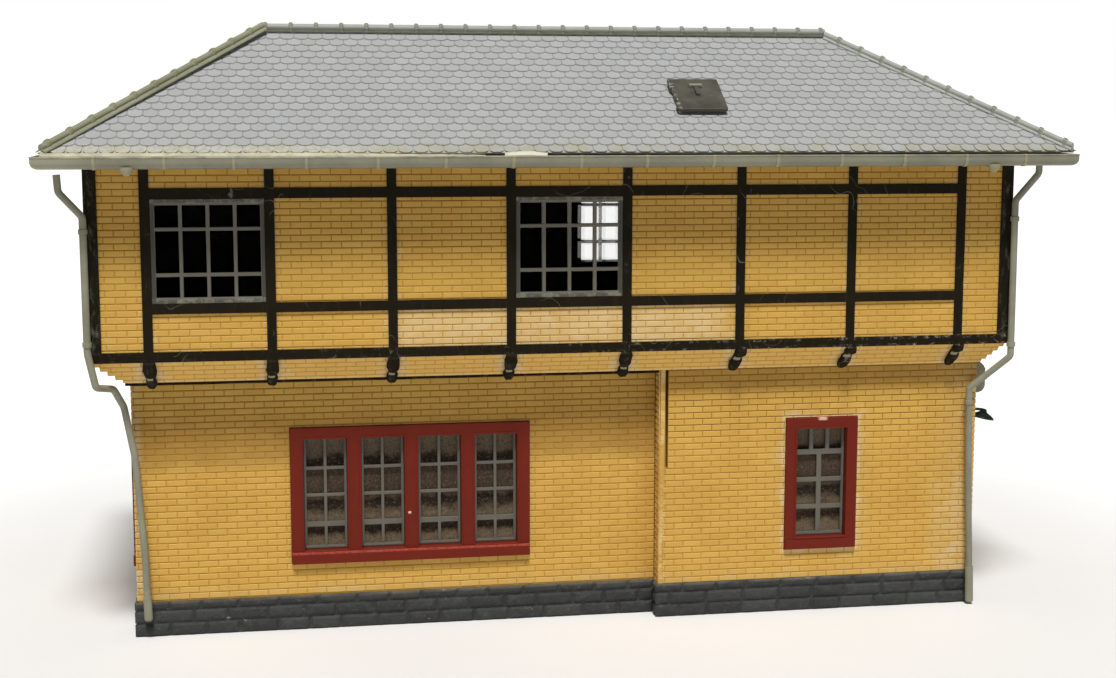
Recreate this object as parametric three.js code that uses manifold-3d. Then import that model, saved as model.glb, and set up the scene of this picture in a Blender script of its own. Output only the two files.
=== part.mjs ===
// Model railway signal-box building, H0 scale (1:87), in millimetres, +Z up.
// Origin: on the underside of the base plate, at the centre of the upper walls.
// +X runs along the building to the right, the front faces -Y.
//
// A brick lower storey stands on a stone plinth. A sloping brick cove carries the wider
// half-timbered upper storey, and the hipped roof is a separate assembly on top. The
// entrance door and the roof hatch lid have groups of their own.
import * as THREE from 'three';
import { ConvexGeometry } from 'three/addons/geometries/ConvexGeometry.js';
import * as BufferGeometryUtils from 'three/addons/utils/BufferGeometryUtils.js';
import Module from 'manifold-3d';

const wasm = await Module();
wasm.setup();

// ---------------------------------------------------------------- dimensions
// Rectangles are [u0, u1, v0, v1]: u runs along the wall (X or Y), v is the height Z.
const GAP = 0.03;                 // clearance between neighbouring pieces
const WALL = 1.6;                 // wall plate thickness

// upper storey
const UPPER_HALF_X = 73.25;       // over the brickwork
const UPPER_HALF_Y = 26.0;
const SOLE_Z = 44.95;             // underside of the upper storey
const EAVES_Z = 75.0;             // top of the upper walls
const UPPER_TOP_Z = EAVES_Z - GAP;
const BAY = 18.5;                 // timber post pitch
const POST_COUNT = 8;             // intermediate posts on a long side
const POST_W = 1.45;
const CORNER_W = 1.6;
const TIMBER_PROUD = 0.35;        // timber face in front of the brick face
const RAIL_H = 1.55;
const SOLE_RAIL = [SOLE_Z, SOLE_Z + RAIL_H];
const MID_RAIL = [52.3, 52.3 + RAIL_H];
const TOP_RAIL = [69.75, 69.75 + RAIL_H];

// lower storey
const LEFT_X = -68.2;
const RIGHT_X = 69.85;
const BACK_Y = 22.7;
const FRONT_Y = -19.7;            // front face of the left section
const PROJ_FRONT_Y = -BACK_Y;     // front face of the projecting right section
const PROJ_LEFT_X = 15.4;         // left face of the projecting section
const PLINTH_TOP_Z = 5.7;
const PLINTH_PROUD = 0.5;
const FLOOR_T = 1.0;              // space for the floor between the storeys
const LOWER_TOP_Z = SOLE_Z - FLOOR_T;
const LOWER_BASE_Z = PLINTH_TOP_Z + GAP;

// cove between the storeys
const COVE_LOW_Z = 41.25;
const COVE_LOW_HALF_Y = 22.9;
const COVE_LAP = 0.1;             // lower edge of the cove beyond the end walls
const COVE_TOP_Z = SOLE_Z - GAP;

// openings of the lower storey
const WIDE_OPENING = [-43.95, -5.5, 10.8, 33.0];      // front, left section
const SMALL_OPENING = [36.8, 49.1, 10.5, 32.75];      // front, right section
const SIDE_OPENING = [-16.4, -4.6, 10.55, 32.7];      // left wall
const DOORWAY = [-18.9, -6.1, 0.9, 25.4];             // right wall, down into the plinth

// roof
const ROOF_HALF_X = 80.0;         // over the tile edge
const ROOF_HALF_Y = 32.6;
const ROOF_EDGE_Z = 76.95;
const ROOF_DX = 1.1;              // tiles and caps sit this far to the right
const GUTTER_HALF_X = 79.38;      // gutter and ceiling plate
const GUTTER_DX = 0.62;
const PITCH = THREE.MathUtils.degToRad(30.29);
const SLOPE = Math.tan(PITCH);
const RIDGE_HALF_X = ROOF_HALF_X - ROOF_HALF_Y;       // all four slopes have equal pitch
const RIDGE_Z = ROOF_EDGE_Z + ROOF_HALF_Y * SLOPE;

// ------------------------------------------------------------------ finishes
const OLIVE = 0x98978a;
const SLAB = 0x8a8a84;
const HATCH_COLOR = 0x4b483c;
const FINISH = {
  brick: { color: 0xcfa551, roughness: 0.62 },
  timber: { color: 0x28261e, roughness: 0.6 },
  stone: { color: 0x434647, roughness: 0.75 },
  red: { color: 0x7b261c, roughness: 0.5 },
  grey: { color: 0x6e6e67, roughness: 0.6 },
  tile: { color: 0xb2b2b2, roughness: 0.7 },
  gutter: { color: OLIVE, roughness: 0.55 },
  oliveTrim: { color: OLIVE, roughness: 0.6 },
  hatchFrame: { color: HATCH_COLOR, roughness: 0.7 },
  hatchLid: { color: HATCH_COLOR, roughness: 0.65 },
  blackCard: { color: 0x0a0a0a, roughness: 0.9 },
  clear: { color: 0xdfe6e6, roughness: 0.1, transparent: true, opacity: 0.35 },
  frosted: { color: 0x6f665c, roughness: 0.85 },
  lamp: { color: 0x1f3a2e, roughness: 0.45 },
  basePlate: { color: SLAB, roughness: 0.7 },
  slab: { color: SLAB, roughness: 0.8 },
};

// ------------------------------------------------------------------- helpers
function add(parent, name, geometry, finish) {
  const mesh = new THREE.Mesh(geometry, new THREE.MeshStandardMaterial(finish));
  mesh.name = name;
  parent.add(mesh);
}

// Welds the vertices, so that the triangles form a closed shell.
function weld(geometry) {
  const welded = geometry.clone();
  welded.deleteAttribute('normal');
  welded.deleteAttribute('uv');
  return BufferGeometryUtils.mergeVertices(welded, 1e-4);
}

function indexedGeometry(positions, indices) {
  const geometry = new THREE.BufferGeometry();
  geometry.setAttribute('position', new THREE.Float32BufferAttribute(positions, 3));
  geometry.setIndex(new THREE.Uint32BufferAttribute(indices, 1));
  geometry.computeVertexNormals();
  return geometry;
}

function toManifold(geometry) {
  const welded = weld(geometry);
  return new wasm.Manifold(new wasm.Mesh({
    numProp: 3,
    vertProperties: Float32Array.from(welded.attributes.position.array),
    triVerts: Uint32Array.from(welded.index.array),
  }));
}

function fromManifold(manifold) {
  const mesh = manifold.getMesh();
  return indexedGeometry(mesh.vertProperties, mesh.triVerts);
}

function union([first, ...rest]) {
  return fromManifold(rest.reduce((sum, part) => sum.add(toManifold(part)), toManifold(first)));
}

function cut(body, tools) {
  return fromManifold(
    tools.reduce((rest, tool) => rest.subtract(toManifold(tool)), toManifold(body)));
}

function hull(points) {
  return new ConvexGeometry(points.map((point) => new THREE.Vector3(...point)));
}

function box(x0, x1, y0, y1, z0, z1) {
  const geometry = new THREE.BoxGeometry(x1 - x0, y1 - y0, z1 - z0);
  geometry.translate((x0 + x1) / 2, (y0 + y1) / 2, (z0 + z1) / 2);
  return geometry;
}

// Pulls all four edges of a rectangle in by `by`; a negative value pushes them out.
function inset([u0, u1, v0, v1], by) {
  return [u0 + by, u1 - by, v0 + by, v1 - by];
}

function extrudeRect([u0, u1, v0, v1], from, to) {
  const corners = [[u0, v0], [u1, v0], [u1, v1], [u0, v1]];
  const shape = new THREE.Shape(corners.map(([u, v]) => new THREE.Vector2(u, v)));
  const geometry = new THREE.ExtrudeGeometry(shape, { depth: to - from, bevelEnabled: false });
  geometry.translate(0, 0, from);
  return geometry;
}

// A flat plate with rectangular holes, lying in the XY plane.
function flatPlate(outline, holes, depth) {
  const plate = extrudeRect(outline, 0, depth);
  if (!holes.length) return plate;
  return cut(plate, holes.map((hole) => extrudeRect(hole, -1, depth + 1)));
}

// u along X, v along Z, occupying y0..y0+depth
function plateXZ(outline, holes, y0, depth) {
  const plate = flatPlate(outline, holes, depth);
  plate.rotateX(Math.PI / 2);
  plate.translate(0, y0 + depth, 0);
  return plate;
}

// u along Y, v along Z, occupying x0..x0+depth
function plateYZ(outline, holes, x0, depth) {
  const plate = flatPlate(outline, holes, depth);
  plate.rotateX(Math.PI / 2);
  plate.rotateZ(Math.PI / 2);
  plate.translate(x0, 0, 0);
  return plate;
}

// Builds a closed body and turns its faces outwards if its signed volume is negative.
function closedBody(positions, indices) {
  const vertex = (i) => new THREE.Vector3().fromArray(positions, indices[i] * 3);
  let volume = 0;
  for (let i = 0; i < indices.length; i += 3) {
    volume += vertex(i).dot(vertex(i + 1).cross(vertex(i + 2)));
  }
  if (volume < 0) {
    for (let i = 0; i < indices.length; i += 3) {
      [indices[i], indices[i + 1]] = [indices[i + 1], indices[i]];
    }
  }
  return indexedGeometry(positions, indices);
}

// A closed body between two placed copies of the flat polygon `profile`.
function loft(start, end, profile) {
  const count = profile.length;
  const positions = [...start, ...end].flatMap((point) => point.toArray());
  const indices = [];
  for (let i = 0; i < count; i++) {
    const j = (i + 1) % count;
    indices.push(i, j, count + j, i, count + j, count + i);
  }
  for (const [a, b, c] of THREE.ShapeUtils.triangulateShape(profile, [])) {
    indices.push(c, b, a);
    indices.push(count + a, count + b, count + c);
  }
  return closedBody(positions, indices);
}

// A profile of [outward, z] points swept round a rectangle with mitred corners.
function mitredRing(profile, halfX, halfY) {
  const positions = [];
  const indices = [];
  const count = profile.length;
  for (const [signX, signY] of [[1, -1], [1, 1], [-1, 1], [-1, -1]]) {
    for (const [outward, z] of profile) {
      positions.push(signX * (halfX + outward), signY * (halfY + outward), z);
    }
  }
  for (let corner = 0; corner < 4; corner++) {
    const here = corner * count;
    const there = ((corner + 1) % 4) * count;
    for (let i = 0; i < count; i++) {
      const j = (i + 1) % count;
      indices.push(here + i, there + i, there + j, here + i, there + j, here + j);
    }
  }
  return closedBody(positions, indices);
}

// A round bar along a path of straight runs with rounded bends.
function roundBar(points, radius, steps) {
  const bendLength = 0.6;         // of each run, taken up by the bend
  const maxShare = 0.45;          // the most of a run that a bend may take
  const corners = points.map((point) => new THREE.Vector3(...point));
  const towards = (corner, other) =>
    corner.clone().lerp(other, Math.min(maxShare, bendLength / corner.distanceTo(other)));
  const path = new THREE.CurvePath();
  let from = corners[0];
  for (let i = 1; i < corners.length - 1; i++) {
    const bendStart = towards(corners[i], corners[i - 1]);
    const bendEnd = towards(corners[i], corners[i + 1]);
    path.add(new THREE.LineCurve3(from, bendStart));
    path.add(new THREE.QuadraticBezierCurve3(bendStart, corners[i], bendEnd));
    from = bendEnd;
  }
  path.add(new THREE.LineCurve3(from, corners[corners.length - 1]));
  const circle = new THREE.Shape();
  circle.absarc(0, 0, radius, 0, Math.PI * 2, false);
  return weld(new THREE.ExtrudeGeometry(circle, {
    steps,
    extrudePath: path,
    curveSegments: 4,
    bevelEnabled: false,
  }));
}

const group = new THREE.Group();
const building = new THREE.Group();
const roof = new THREE.Group();
const hatch = new THREE.Group();
const door = new THREE.Group();
group.add(building, roof, hatch, door);

// ------------------------------------------------------------- lower storey
function addBase() {
  const plate = box(LEFT_X + WALL, RIGHT_X - WALL, FRONT_Y + WALL, BACK_Y - WALL, 0, 1.2);
  add(building, 'base_plate', plate, FINISH.basePlate);
}

// One ring of stone that follows the step of the front wall, notched for the doorway
// so that a low threshold is left.
function addPlinth() {
  const proud = PLINTH_PROUD;
  const inner = WALL - GAP;
  const above = PLINTH_TOP_Z + 1;
  const outer = union([
    box(LEFT_X - proud, RIGHT_X + proud, FRONT_Y - proud, BACK_Y + proud, 0, PLINTH_TOP_Z),
    box(PROJ_LEFT_X - proud, RIGHT_X + proud, PROJ_FRONT_Y - proud, 0, 0, PLINTH_TOP_Z),
  ]);
  add(building, 'plinth', cut(outer, [
    box(LEFT_X + inner, RIGHT_X - inner, FRONT_Y + inner, BACK_Y - inner, -1, above),
    box(RIGHT_X - 5, RIGHT_X + 5, DOORWAY[0], DOORWAY[1], DOORWAY[2], above),
  ]), FINISH.stone);
}

function addLowerWalls() {
  const returnT = 1.4;            // thickness of the wall that closes the step
  const heights = [LOWER_BASE_Z, LOWER_TOP_Z];
  const backEnd = BACK_Y - WALL - GAP;
  const doorHole = [DOORWAY[0], DOORWAY[1], LOWER_BASE_Z - 2, DOORWAY[3]];
  const walls = {
    front_left:
      plateXZ([LEFT_X, PROJ_LEFT_X - GAP, ...heights], [WIDE_OPENING], FRONT_Y, WALL),
    front_right: union([
      plateXZ([PROJ_LEFT_X, RIGHT_X, ...heights], [SMALL_OPENING], PROJ_FRONT_Y, WALL),
      box(PROJ_LEFT_X, PROJ_LEFT_X + returnT, PROJ_FRONT_Y + 0.5, FRONT_Y + WALL, ...heights),
    ]),
    back: plateXZ([LEFT_X, RIGHT_X, ...heights], [], BACK_Y - WALL, WALL),
    left: plateYZ([FRONT_Y + WALL + GAP, backEnd, ...heights], [SIDE_OPENING], LEFT_X, WALL),
    right: plateYZ(
      [PROJ_FRONT_Y + WALL + GAP, backEnd, ...heights], [doorHole], RIGHT_X - WALL, WALL),
  };
  for (const [name, wall] of Object.entries(walls)) {
    add(building, `lower_wall_${name}`, wall, FINISH.brick);
  }
}

// Clear openings of a window frame, side by side between mullions.
function frameLights([u0, u1, v0, v1], { side, head, sill, mullion = 0, count = 1 }) {
  const width = (u1 - u0 - 2 * side - (count - 1) * mullion) / count;
  const lights = [];
  for (let i = 0; i < count; i++) {
    const start = u0 + side + i * (width + mullion);
    lights.push([start, start + width, v0 + sill, v1 - head]);
  }
  return lights;
}

// A pane each side of the central bar of a light.
function panePair([u0, u1], edge, bar, bottom, top) {
  const middle = (u0 + u1) / 2;
  return [
    [u0 + edge, middle - bar / 2, bottom, top],
    [middle + bar / 2, u1 - edge, bottom, top],
  ];
}

// Two columns by four rows; the bar above the lowest row is thick.
function casementPanes(light) {
  const [, , v0, v1] = light;
  // [bottom, top] of each row above the foot of the light
  const rows = [[0.5, 3.55], [4.4, 8.5], [9.0, 12.9], [13.4, v1 - v0 - 0.25]];
  return rows.flatMap(([bottom, top]) => panePair(light, 0.45, 0.5, v0 + bottom, v0 + top));
}

// Three small panes over a transom, then two columns of three.
function transomPanes(light) {
  const [u0, u1, v0, v1] = light;
  const edge = 0.4;
  const foot = 0.55;
  const smallBar = 0.7;           // upright bars above the transom
  const centreBar = 0.85;
  const crossBar = 0.75;
  const smallDrop = 3.75;         // foot of the small panes below the head of the light
  const transom = 0.9;
  const smallW = (u1 - u0 - 2 * edge - 2 * smallBar) / 3;
  const cellH = (v1 - v0 - smallDrop - transom - foot - 2 * crossBar) / 3;
  const panes = [];
  for (let i = 0; i < 3; i++) {
    const start = u0 + edge + i * (smallW + smallBar);
    panes.push([start, start + smallW, v1 - smallDrop, v1 - 0.35]);
  }
  for (let row = 0; row < 3; row++) {
    const bottom = v0 + foot + row * (cellH + crossBar);
    panes.push(...panePair(light, edge, centreBar, bottom, bottom + cellH));
  }
  return panes;
}

// Red frame, grey sash behind it and frosted sheet behind the wall. `face` is the
// outer face of the wall; depth into the building is positive for every one of them.
function addLowerWindow(name, { opening, frame, panes, plate, face, sheet }) {
  const lights = frameLights(opening, frame);
  const sashOutline = inset(opening, GAP + 0.2);
  const prefix = `window_${name}`;
  add(building, `${prefix}_frame`,
    plate(inset(opening, GAP), lights, face - 0.5, 1.5), FINISH.red);
  add(building, `${prefix}_sash`,
    plate(sashOutline, lights.flatMap(panes), face + 1.0 + GAP, 0.5), FINISH.grey);
  add(building, `${prefix}_glazing`, plate(sheet, [], face + WALL + GAP, 0.35), FINISH.frosted);
}

function addLowerWindows() {
  const sheetLap = 1.2;           // frosted sheet beyond the opening
  const wideFrame = { side: 2.1, head: 1.9, sill: 2.15, mullion: 2.25, count: 4 };
  const narrowFrame = { side: 1.9, head: 1.85, sill: 2.1 };
  const sideSheet = inset(SIDE_OPENING, -sheetLap);
  sideSheet[0] = SIDE_OPENING[0] - 0.7;   // shorter towards the front corner
  addLowerWindow('four', {
    opening: WIDE_OPENING,
    frame: wideFrame,
    panes: casementPanes,
    plate: plateXZ,
    face: FRONT_Y,
    sheet: inset(WIDE_OPENING, -sheetLap),
  });
  addLowerWindow('small', {
    opening: SMALL_OPENING,
    frame: narrowFrame,
    panes: transomPanes,
    plate: plateXZ,
    face: PROJ_FRONT_Y,
    sheet: inset(SMALL_OPENING, -sheetLap),
  });
  addLowerWindow('side', {
    opening: SIDE_OPENING,
    frame: narrowFrame,
    panes: transomPanes,
    plate: plateYZ,
    face: LEFT_X,
    sheet: sideSheet,
  });
}

// Red frame in the right wall, and a leaf with a small handle block.
function addEntrance() {
  const frameW = 0.95;
  const play = 0.12;              // between leaf and frame
  const [y0, y1, , top] = DOORWAY;
  const foot = DOORWAY[2] + GAP;
  const leafY0 = y0 + frameW + play;
  const leafY1 = y1 - frameW - play;
  const frame = cut(
    plateYZ([y0 + GAP, y1 - GAP, foot, top - GAP], [], RIGHT_X - 1.2, 1.6),
    [box(RIGHT_X - 3, RIGHT_X + 3, y0 + frameW, y1 - frameW, foot - 1, top - frameW)]);
  add(building, 'door_frame', frame, FINISH.red);
  add(door, 'door_leaf', union([
    box(RIGHT_X - 0.65, RIGHT_X + 0.15, leafY0, leafY1, foot + 0.3, top - frameW - play),
    box(RIGHT_X + 0.1, RIGHT_X + 0.75, leafY1 - 1.35, leafY1 - 0.85, 11.9, 12.6),
  ]), FINISH.red);
}

// A turned shade on a short bent arm with a round wall rose.
function addWallLamp() {
  const y = -18.4;
  const z = 31.6;
  const roseX = RIGHT_X + 0.3;
  const roseZ = z - 0.6;
  // [radius, height] from the underside to the top
  const shadeProfile = [
    [0, -0.5], [2.0, -0.7], [2.0, -0.45], [0.7, 0.35], [0.5, 0.85], [0, 0.9],
  ];
  const shade = new THREE.LatheGeometry(shadeProfile.map((p) => new THREE.Vector2(...p)), 16);
  shade.rotateX(Math.PI / 2);
  shade.rotateY(THREE.MathUtils.degToRad(12));
  shade.translate(RIGHT_X + 3.2, y, z);
  const rose = new THREE.CylinderGeometry(0.9, 0.9, 0.5, 12);
  rose.rotateZ(Math.PI / 2);
  rose.translate(roseX, y, roseZ);
  const arm = roundBar(
    [[roseX, y, roseZ], [RIGHT_X + 1.4, y, z + 0.9], [RIGHT_X + 3.0, y, z + 0.6]], 0.26, 14);
  add(building, 'wall_lamp', union([shade, rose, arm]), FINISH.lamp);
}

// --------------------------------------------------------------------- jetty
function rectCorners(x0, x1, y0, y1, z) {
  return [[x0, y0, z], [x1, y0, z], [x1, y1, z], [x0, y1, z]];
}

// A wedge that widens upwards, hollowed out to fit round the lower walls.
function addCove() {
  const wedge = hull([
    ...rectCorners(-UPPER_HALF_X, UPPER_HALF_X, -UPPER_HALF_Y, UPPER_HALF_Y, COVE_TOP_Z),
    ...rectCorners(LEFT_X - COVE_LAP, RIGHT_X + COVE_LAP,
      -COVE_LOW_HALF_Y, COVE_LOW_HALF_Y, COVE_LOW_Z),
  ]);
  add(building, 'jetty_cove', cut(wedge, [
    box(LEFT_X - GAP, RIGHT_X + GAP, FRONT_Y - GAP, BACK_Y + GAP, 30, 60),
    box(PROJ_LEFT_X - GAP, RIGHT_X + GAP, PROJ_FRONT_Y - GAP, 0, 30, 60),
  ]), FINISH.brick);
}

// A dark board closes the underside where the left front section stands back.
function addSoffit() {
  const board = box(
    LEFT_X - 0.5, PROJ_LEFT_X - 0.05, -22.5, FRONT_Y - 0.05, 40.85, COVE_LOW_Z - 0.05);
  add(building, 'jetty_soffit', board, FINISH.timber);
}

// A console under the right-hand overhang.
function addConsole() {
  // [distance from the right wall, z]
  const profile = [
    [0.05, 35.8], [0.05, 40.95], [1.5, 35.8], [2.3, 36.6], [2.3, 40.1], [1.3, 40.95],
  ];
  const points = [-20.9, -19.5].flatMap((y) => profile.map(([out, z]) => [RIGHT_X + out, y, z]));
  add(building, 'jetty_console', hull(points), FINISH.oliveTrim);
}

// -------------------------------------------------------------- upper storey
const postX = (i) => (i - (POST_COUNT - 1) / 2) * BAY;
const postPositions = Array.from({ length: POST_COUNT }, (_, i) => postX(i));

// The opening between two posts and the middle and top rails.
const openingBetween = (u0, u1) => [u0 + POST_W / 2, u1 - POST_W / 2, MID_RAIL[1], TOP_RAIL[0]];
const bayOpening = (i) => openingBetween(postX(i), postX(i + 1));
const BACK_OPENINGS = [1, 2, 4, 5].map(bayOpening);
const END_OPENING = openingBetween(-BAY / 2, BAY / 2);

// `sign` is the direction of the outer face, `half` its distance from the origin.
const longSide = { plate: plateXZ, half: UPPER_HALF_Y, wallEnd: UPPER_HALF_X };
const endSide = {
  plate: plateYZ,
  half: UPPER_HALF_X,
  wallEnd: UPPER_HALF_Y - WALL - GAP,
  openings: [END_OPENING],
};
const UPPER_SIDES = [
  { name: 'front', sign: -1, ...longSide, openings: [0, 3].map(bayOpening) },
  { name: 'back', sign: 1, ...longSide, openings: BACK_OPENINGS },
  { name: 'left', sign: -1, ...endSide },
  { name: 'right', sign: 1, ...endSide },
];

// Lower coordinate of a layer whose outer face is `outset` outside the brick face.
function layerStart({ sign, half }, outset, depth) {
  return sign < 0 ? -half - outset : half + outset - depth;
}

function sidePlate(side, outline, holes, outset, depth) {
  return side.plate(outline, holes, layerStart(side, outset, depth), depth);
}

function addUpperFloor() {
  const floor = box(LEFT_X, RIGHT_X, FRONT_Y, BACK_Y, LOWER_TOP_Z + GAP, SOLE_Z - GAP);
  add(building, 'upper_floor', floor, FINISH.slab);
}

function addUpperWall(side) {
  const outline = [-side.wallEnd, side.wallEnd, SOLE_Z, UPPER_TOP_Z];
  const wall = sidePlate(side, outline, side.openings, 0, WALL);
  add(building, `upper_wall_${side.name}`, wall, FINISH.brick);
}

// A strut just off the cove slope, in a plane across Y. The slope runs from `topReach` out
// from the centre line down to `lowReach`; `share` is how much of it the strut covers.
function coveStrut({ x, sign, topReach, lowReach, share }) {
  const halfW = 0.7;
  const thickness = 1.0;
  const lift = 0.12;              // clear of the slope
  const along = new THREE.Vector2(lowReach - topReach, COVE_LOW_Z - COVE_TOP_Z);
  const end = new THREE.Vector2(topReach, COVE_TOP_Z).addScaledVector(along, share);
  along.normalize();
  const away = new THREE.Vector2(-along.y, along.x);   // down and away from the cove
  const points = [];
  for (const dx of [-halfW, halfW]) {
    for (const [reach, z] of [[topReach + 0.03, COVE_TOP_Z + 0.03], [end.x, end.y]]) {
      for (const off of [lift, lift + thickness]) {
        points.push([x + dx, sign * (reach + away.x * off), z + away.y * off]);
      }
    }
  }
  // a short root joins the strut to the sole rail
  const [y0, y1] = [sign * (topReach + 0.1), sign * (topReach + 0.85)].sort((a, b) => a - b);
  const root = box(x - halfW, x + halfW, y0, y1, SOLE_Z - 0.45, SOLE_Z + 0.45);
  return union([hull(points), root]);
}

// Front and back struts; they run on further where the left front section stands back.
function longSideStrut(sign, x) {
  const share = sign < 0 && x <= PROJ_LEFT_X ? 1.12 : 0.94;
  return coveStrut({ x, sign, topReach: UPPER_HALF_Y, lowReach: COVE_LOW_HALF_Y, share });
}

function endStrut(sign, y) {
  const strut = coveStrut({
    x: 0,
    sign: -1,
    topReach: UPPER_HALF_X,
    lowReach: (sign < 0 ? -LEFT_X : RIGHT_X) + COVE_LAP,
    share: 0.9,
  });
  strut.rotateZ(sign * Math.PI / 2);
  strut.translate(0, y, 0);
  return strut;
}

// Rails, corner posts, posts and cove struts of one side. `bar` makes a timber from
// [u0, u1, z0, z1].
function timberFrame({ bar, end, railEnd, posts, strut }) {
  return union([
    bar(-end, end, ...SOLE_RAIL),
    bar(-railEnd, railEnd, ...TOP_RAIL),
    bar(-railEnd, railEnd, ...MID_RAIL),
    bar(-end, -end + CORNER_W, SOLE_Z, UPPER_TOP_Z),
    bar(end - CORNER_W, end, SOLE_Z, UPPER_TOP_Z),
    ...posts.flatMap((u) => [
      bar(u - POST_W / 2, u + POST_W / 2, SOLE_Z, UPPER_TOP_Z),
      strut(u),
    ]),
  ]);
}

function addTimber(side) {
  const depth = TIMBER_PROUD - GAP;
  const start = layerStart(side, TIMBER_PROUD, depth);
  const endHalf = UPPER_HALF_Y - 0.02;
  const frame = side.plate === plateXZ
    ? timberFrame({
      bar: (u0, u1, z0, z1) => box(u0, u1, start, start + depth, z0, z1),
      end: UPPER_HALF_X,
      railEnd: postX(POST_COUNT - 1),
      posts: postPositions,
      strut: (x) => longSideStrut(side.sign, x),
    })
    : timberFrame({
      bar: (u0, u1, z0, z1) => box(start, start + depth, u0, u1, z0, z1),
      end: endHalf,
      railEnd: endHalf,
      posts: [-BAY / 2, BAY / 2],
      strut: (y) => endStrut(side.sign, y),
    });
  add(building, `timber_${side.name}`, frame, FINISH.timber);
}

// Panes of an upper window: four columns by three rows.
function upperPanes(opening) {
  const bar = 0.55;
  const u0 = opening[0] + 0.7;
  const u1 = opening[1] - 0.7;
  const v0 = opening[2] + 0.9;
  const v1 = opening[3] - 0.95;
  const width = (u1 - u0 - 3 * bar) / 4;
  const rows = [[v0, v0 + 3.2], [v0 + 3.75, v0 + 10.15], [v0 + 10.7, v1]];
  return rows.flatMap(([bottom, top]) => [0, 1, 2, 3].map((column) => {
    const start = u0 + column * (width + bar);
    return [start, start + width, bottom, top];
  }));
}

function addUpperWindows(side) {
  side.openings.forEach((opening, i) => {
    const suffix = side.openings.length > 1 ? `_${i + 1}` : '';
    const insert = sidePlate(side, inset(opening, GAP), upperPanes(opening), 0.15, 0.9);
    add(building, `window_upper_${side.name}${suffix}`, insert, FINISH.grey);
  });
}

const GLASS_T = 0.3;

// One clear sheet behind each wall spans all its openings.
function addUpperGlazing(side) {
  const first = side.openings[0];
  const last = side.openings[side.openings.length - 1];
  const outline = inset([first[0], last[1], first[2], first[3]], -1.2);
  const sheet = sidePlate(side, outline, [], -(WALL + GAP), GLASS_T);
  add(building, `glazing_${side.name}`, sheet, FINISH.clear);
}

// Black card behind the back and end walls, folded to a U and pierced at the windows.
function addLightMask() {
  const cardT = 0.35;
  const depthInside = WALL + GAP + GLASS_T + 0.15;
  const x = UPPER_HALF_X - depthInside;
  const y = UPPER_HALF_Y - depthInside;
  const heights = [SOLE_Z + GAP, 73.2];
  const card = union([
    box(-x, x, y - cardT, y, ...heights),
    box(-x, -x + cardT, -y + 0.5, y, ...heights),
    box(x - cardT, x, -y + 0.5, y, ...heights),
  ]);
  const pierced = ([u0, u1, v0, v1]) => [u0 + 0.5, u1 - 0.5, v0 + 0.7, v1 - 0.7];
  const holes = BACK_OPENINGS.map((opening) => {
    const [u0, u1, v0, v1] = pierced(opening);
    return box(u0, u1, y - 3, y + 3, v0, v1);
  });
  holes.push(box(-x - 3, x + 3, ...pierced(END_OPENING)));
  add(building, 'light_mask', cut(card, holes), FINISH.blackCard);
}

// Each downpipe cranks in from its head near the gutter to the front corner, runs down,
// cranks back under the jetty and ends in front of the lower wall. Points are [x, y, z].
const DOWNPIPES = {
  left: [
    [-77.15, -27.0, 74.2], [-77.0, -27.0, 70.9], [-74.15, -27.05, 67.4],
    [-74.15, -27.05, 46.6], [-72.6, -26.4, 41.3], [-70.4, -23.0, 40.5],
    [-69.1, -21.2, 37.4], [-67.75, -21.0, 29.7], [-67.2, -21.0, 22.5],
    [-66.6, -21.0, 12.8], [-66.4, -21.0, 3.0],
  ],
  right: [
    [77.6, -27.0, 74.4], [77.6, -27.0, 73.0], [74.1, -27.05, 68.6],
    [74.1, -27.05, 42.9], [70.3, -24.4, 39.0], [68.0, -24.0, 37.2],
    [68.4, -24.0, 21.5], [69.0, -24.0, 7.6], [69.25, -24.0, 0.4],
  ],
};

function addDownpipes() {
  const radius = 0.55;
  for (const [name, points] of Object.entries(DOWNPIPES)) {
    add(building, `downpipe_${name}`, roundBar(points, radius, 46), FINISH.gutter);
  }
}

// ---------------------------------------------------------------------- roof
const longSlopeZ = (x, y) => ROOF_EDGE_Z + (ROOF_HALF_Y - Math.abs(y)) * SLOPE;
const endSlopeZ = (x) => ROOF_EDGE_Z + (ROOF_HALF_X - Math.abs(x)) * SLOPE;

function addShifted(name, geometry, dx, finish) {
  geometry.translate(dx, 0, 0);
  add(roof, name, geometry, finish);
}

// Tiled panels, pulled back from the ridge and hip lines.
function addRoofPanels() {
  const thickness = 0.55;         // measured vertically
  const ridgeGap = 0.14;          // from the ridge line
  const hipGap = ridgeGap * 1.5;  // from the hip lines
  const longX = ROOF_HALF_X - hipGap;
  const longRidgeX = RIDGE_HALF_X - hipGap;
  const endY = ROOF_HALF_Y - hipGap;
  const longPlan = [
    [-longX, ROOF_HALF_Y], [longX, ROOF_HALF_Y], [longRidgeX, ridgeGap], [-longRidgeX, ridgeGap],
  ];
  const endPlan = [
    [ROOF_HALF_X, -endY], [ROOF_HALF_X, endY], [RIDGE_HALF_X + hipGap + 0.05, 0],
  ];
  // name, plan corners, mirror in X, mirror in Y, height function
  const panels = [
    ['front', longPlan, 1, -1, longSlopeZ],
    ['back', longPlan, 1, 1, longSlopeZ],
    ['left', endPlan, -1, 1, endSlopeZ],
    ['right', endPlan, 1, 1, endSlopeZ],
  ];
  for (const [name, plan, signX, signY, heightAt] of panels) {
    const points = plan.flatMap(([x, y]) => [0, -thickness].map(
      (dz) => [signX * x, signY * y, heightAt(x, y) + dz]));
    addShifted(`roof_panel_${name}`, hull(points), ROOF_DX, FINISH.tile);
  }
}

// Rectangular ring of wall thickness 1 mm, centred on x = dx.
function upstand(halfX, halfY, z0, z1, dx) {
  return cut(box(-halfX + dx, halfX + dx, -halfY, halfY, z0, z1), [
    box(-halfX + dx + 1, halfX + dx - 1, -halfY + 1, halfY - 1, z0 - 2, z1 + 2),
  ]);
}

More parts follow.
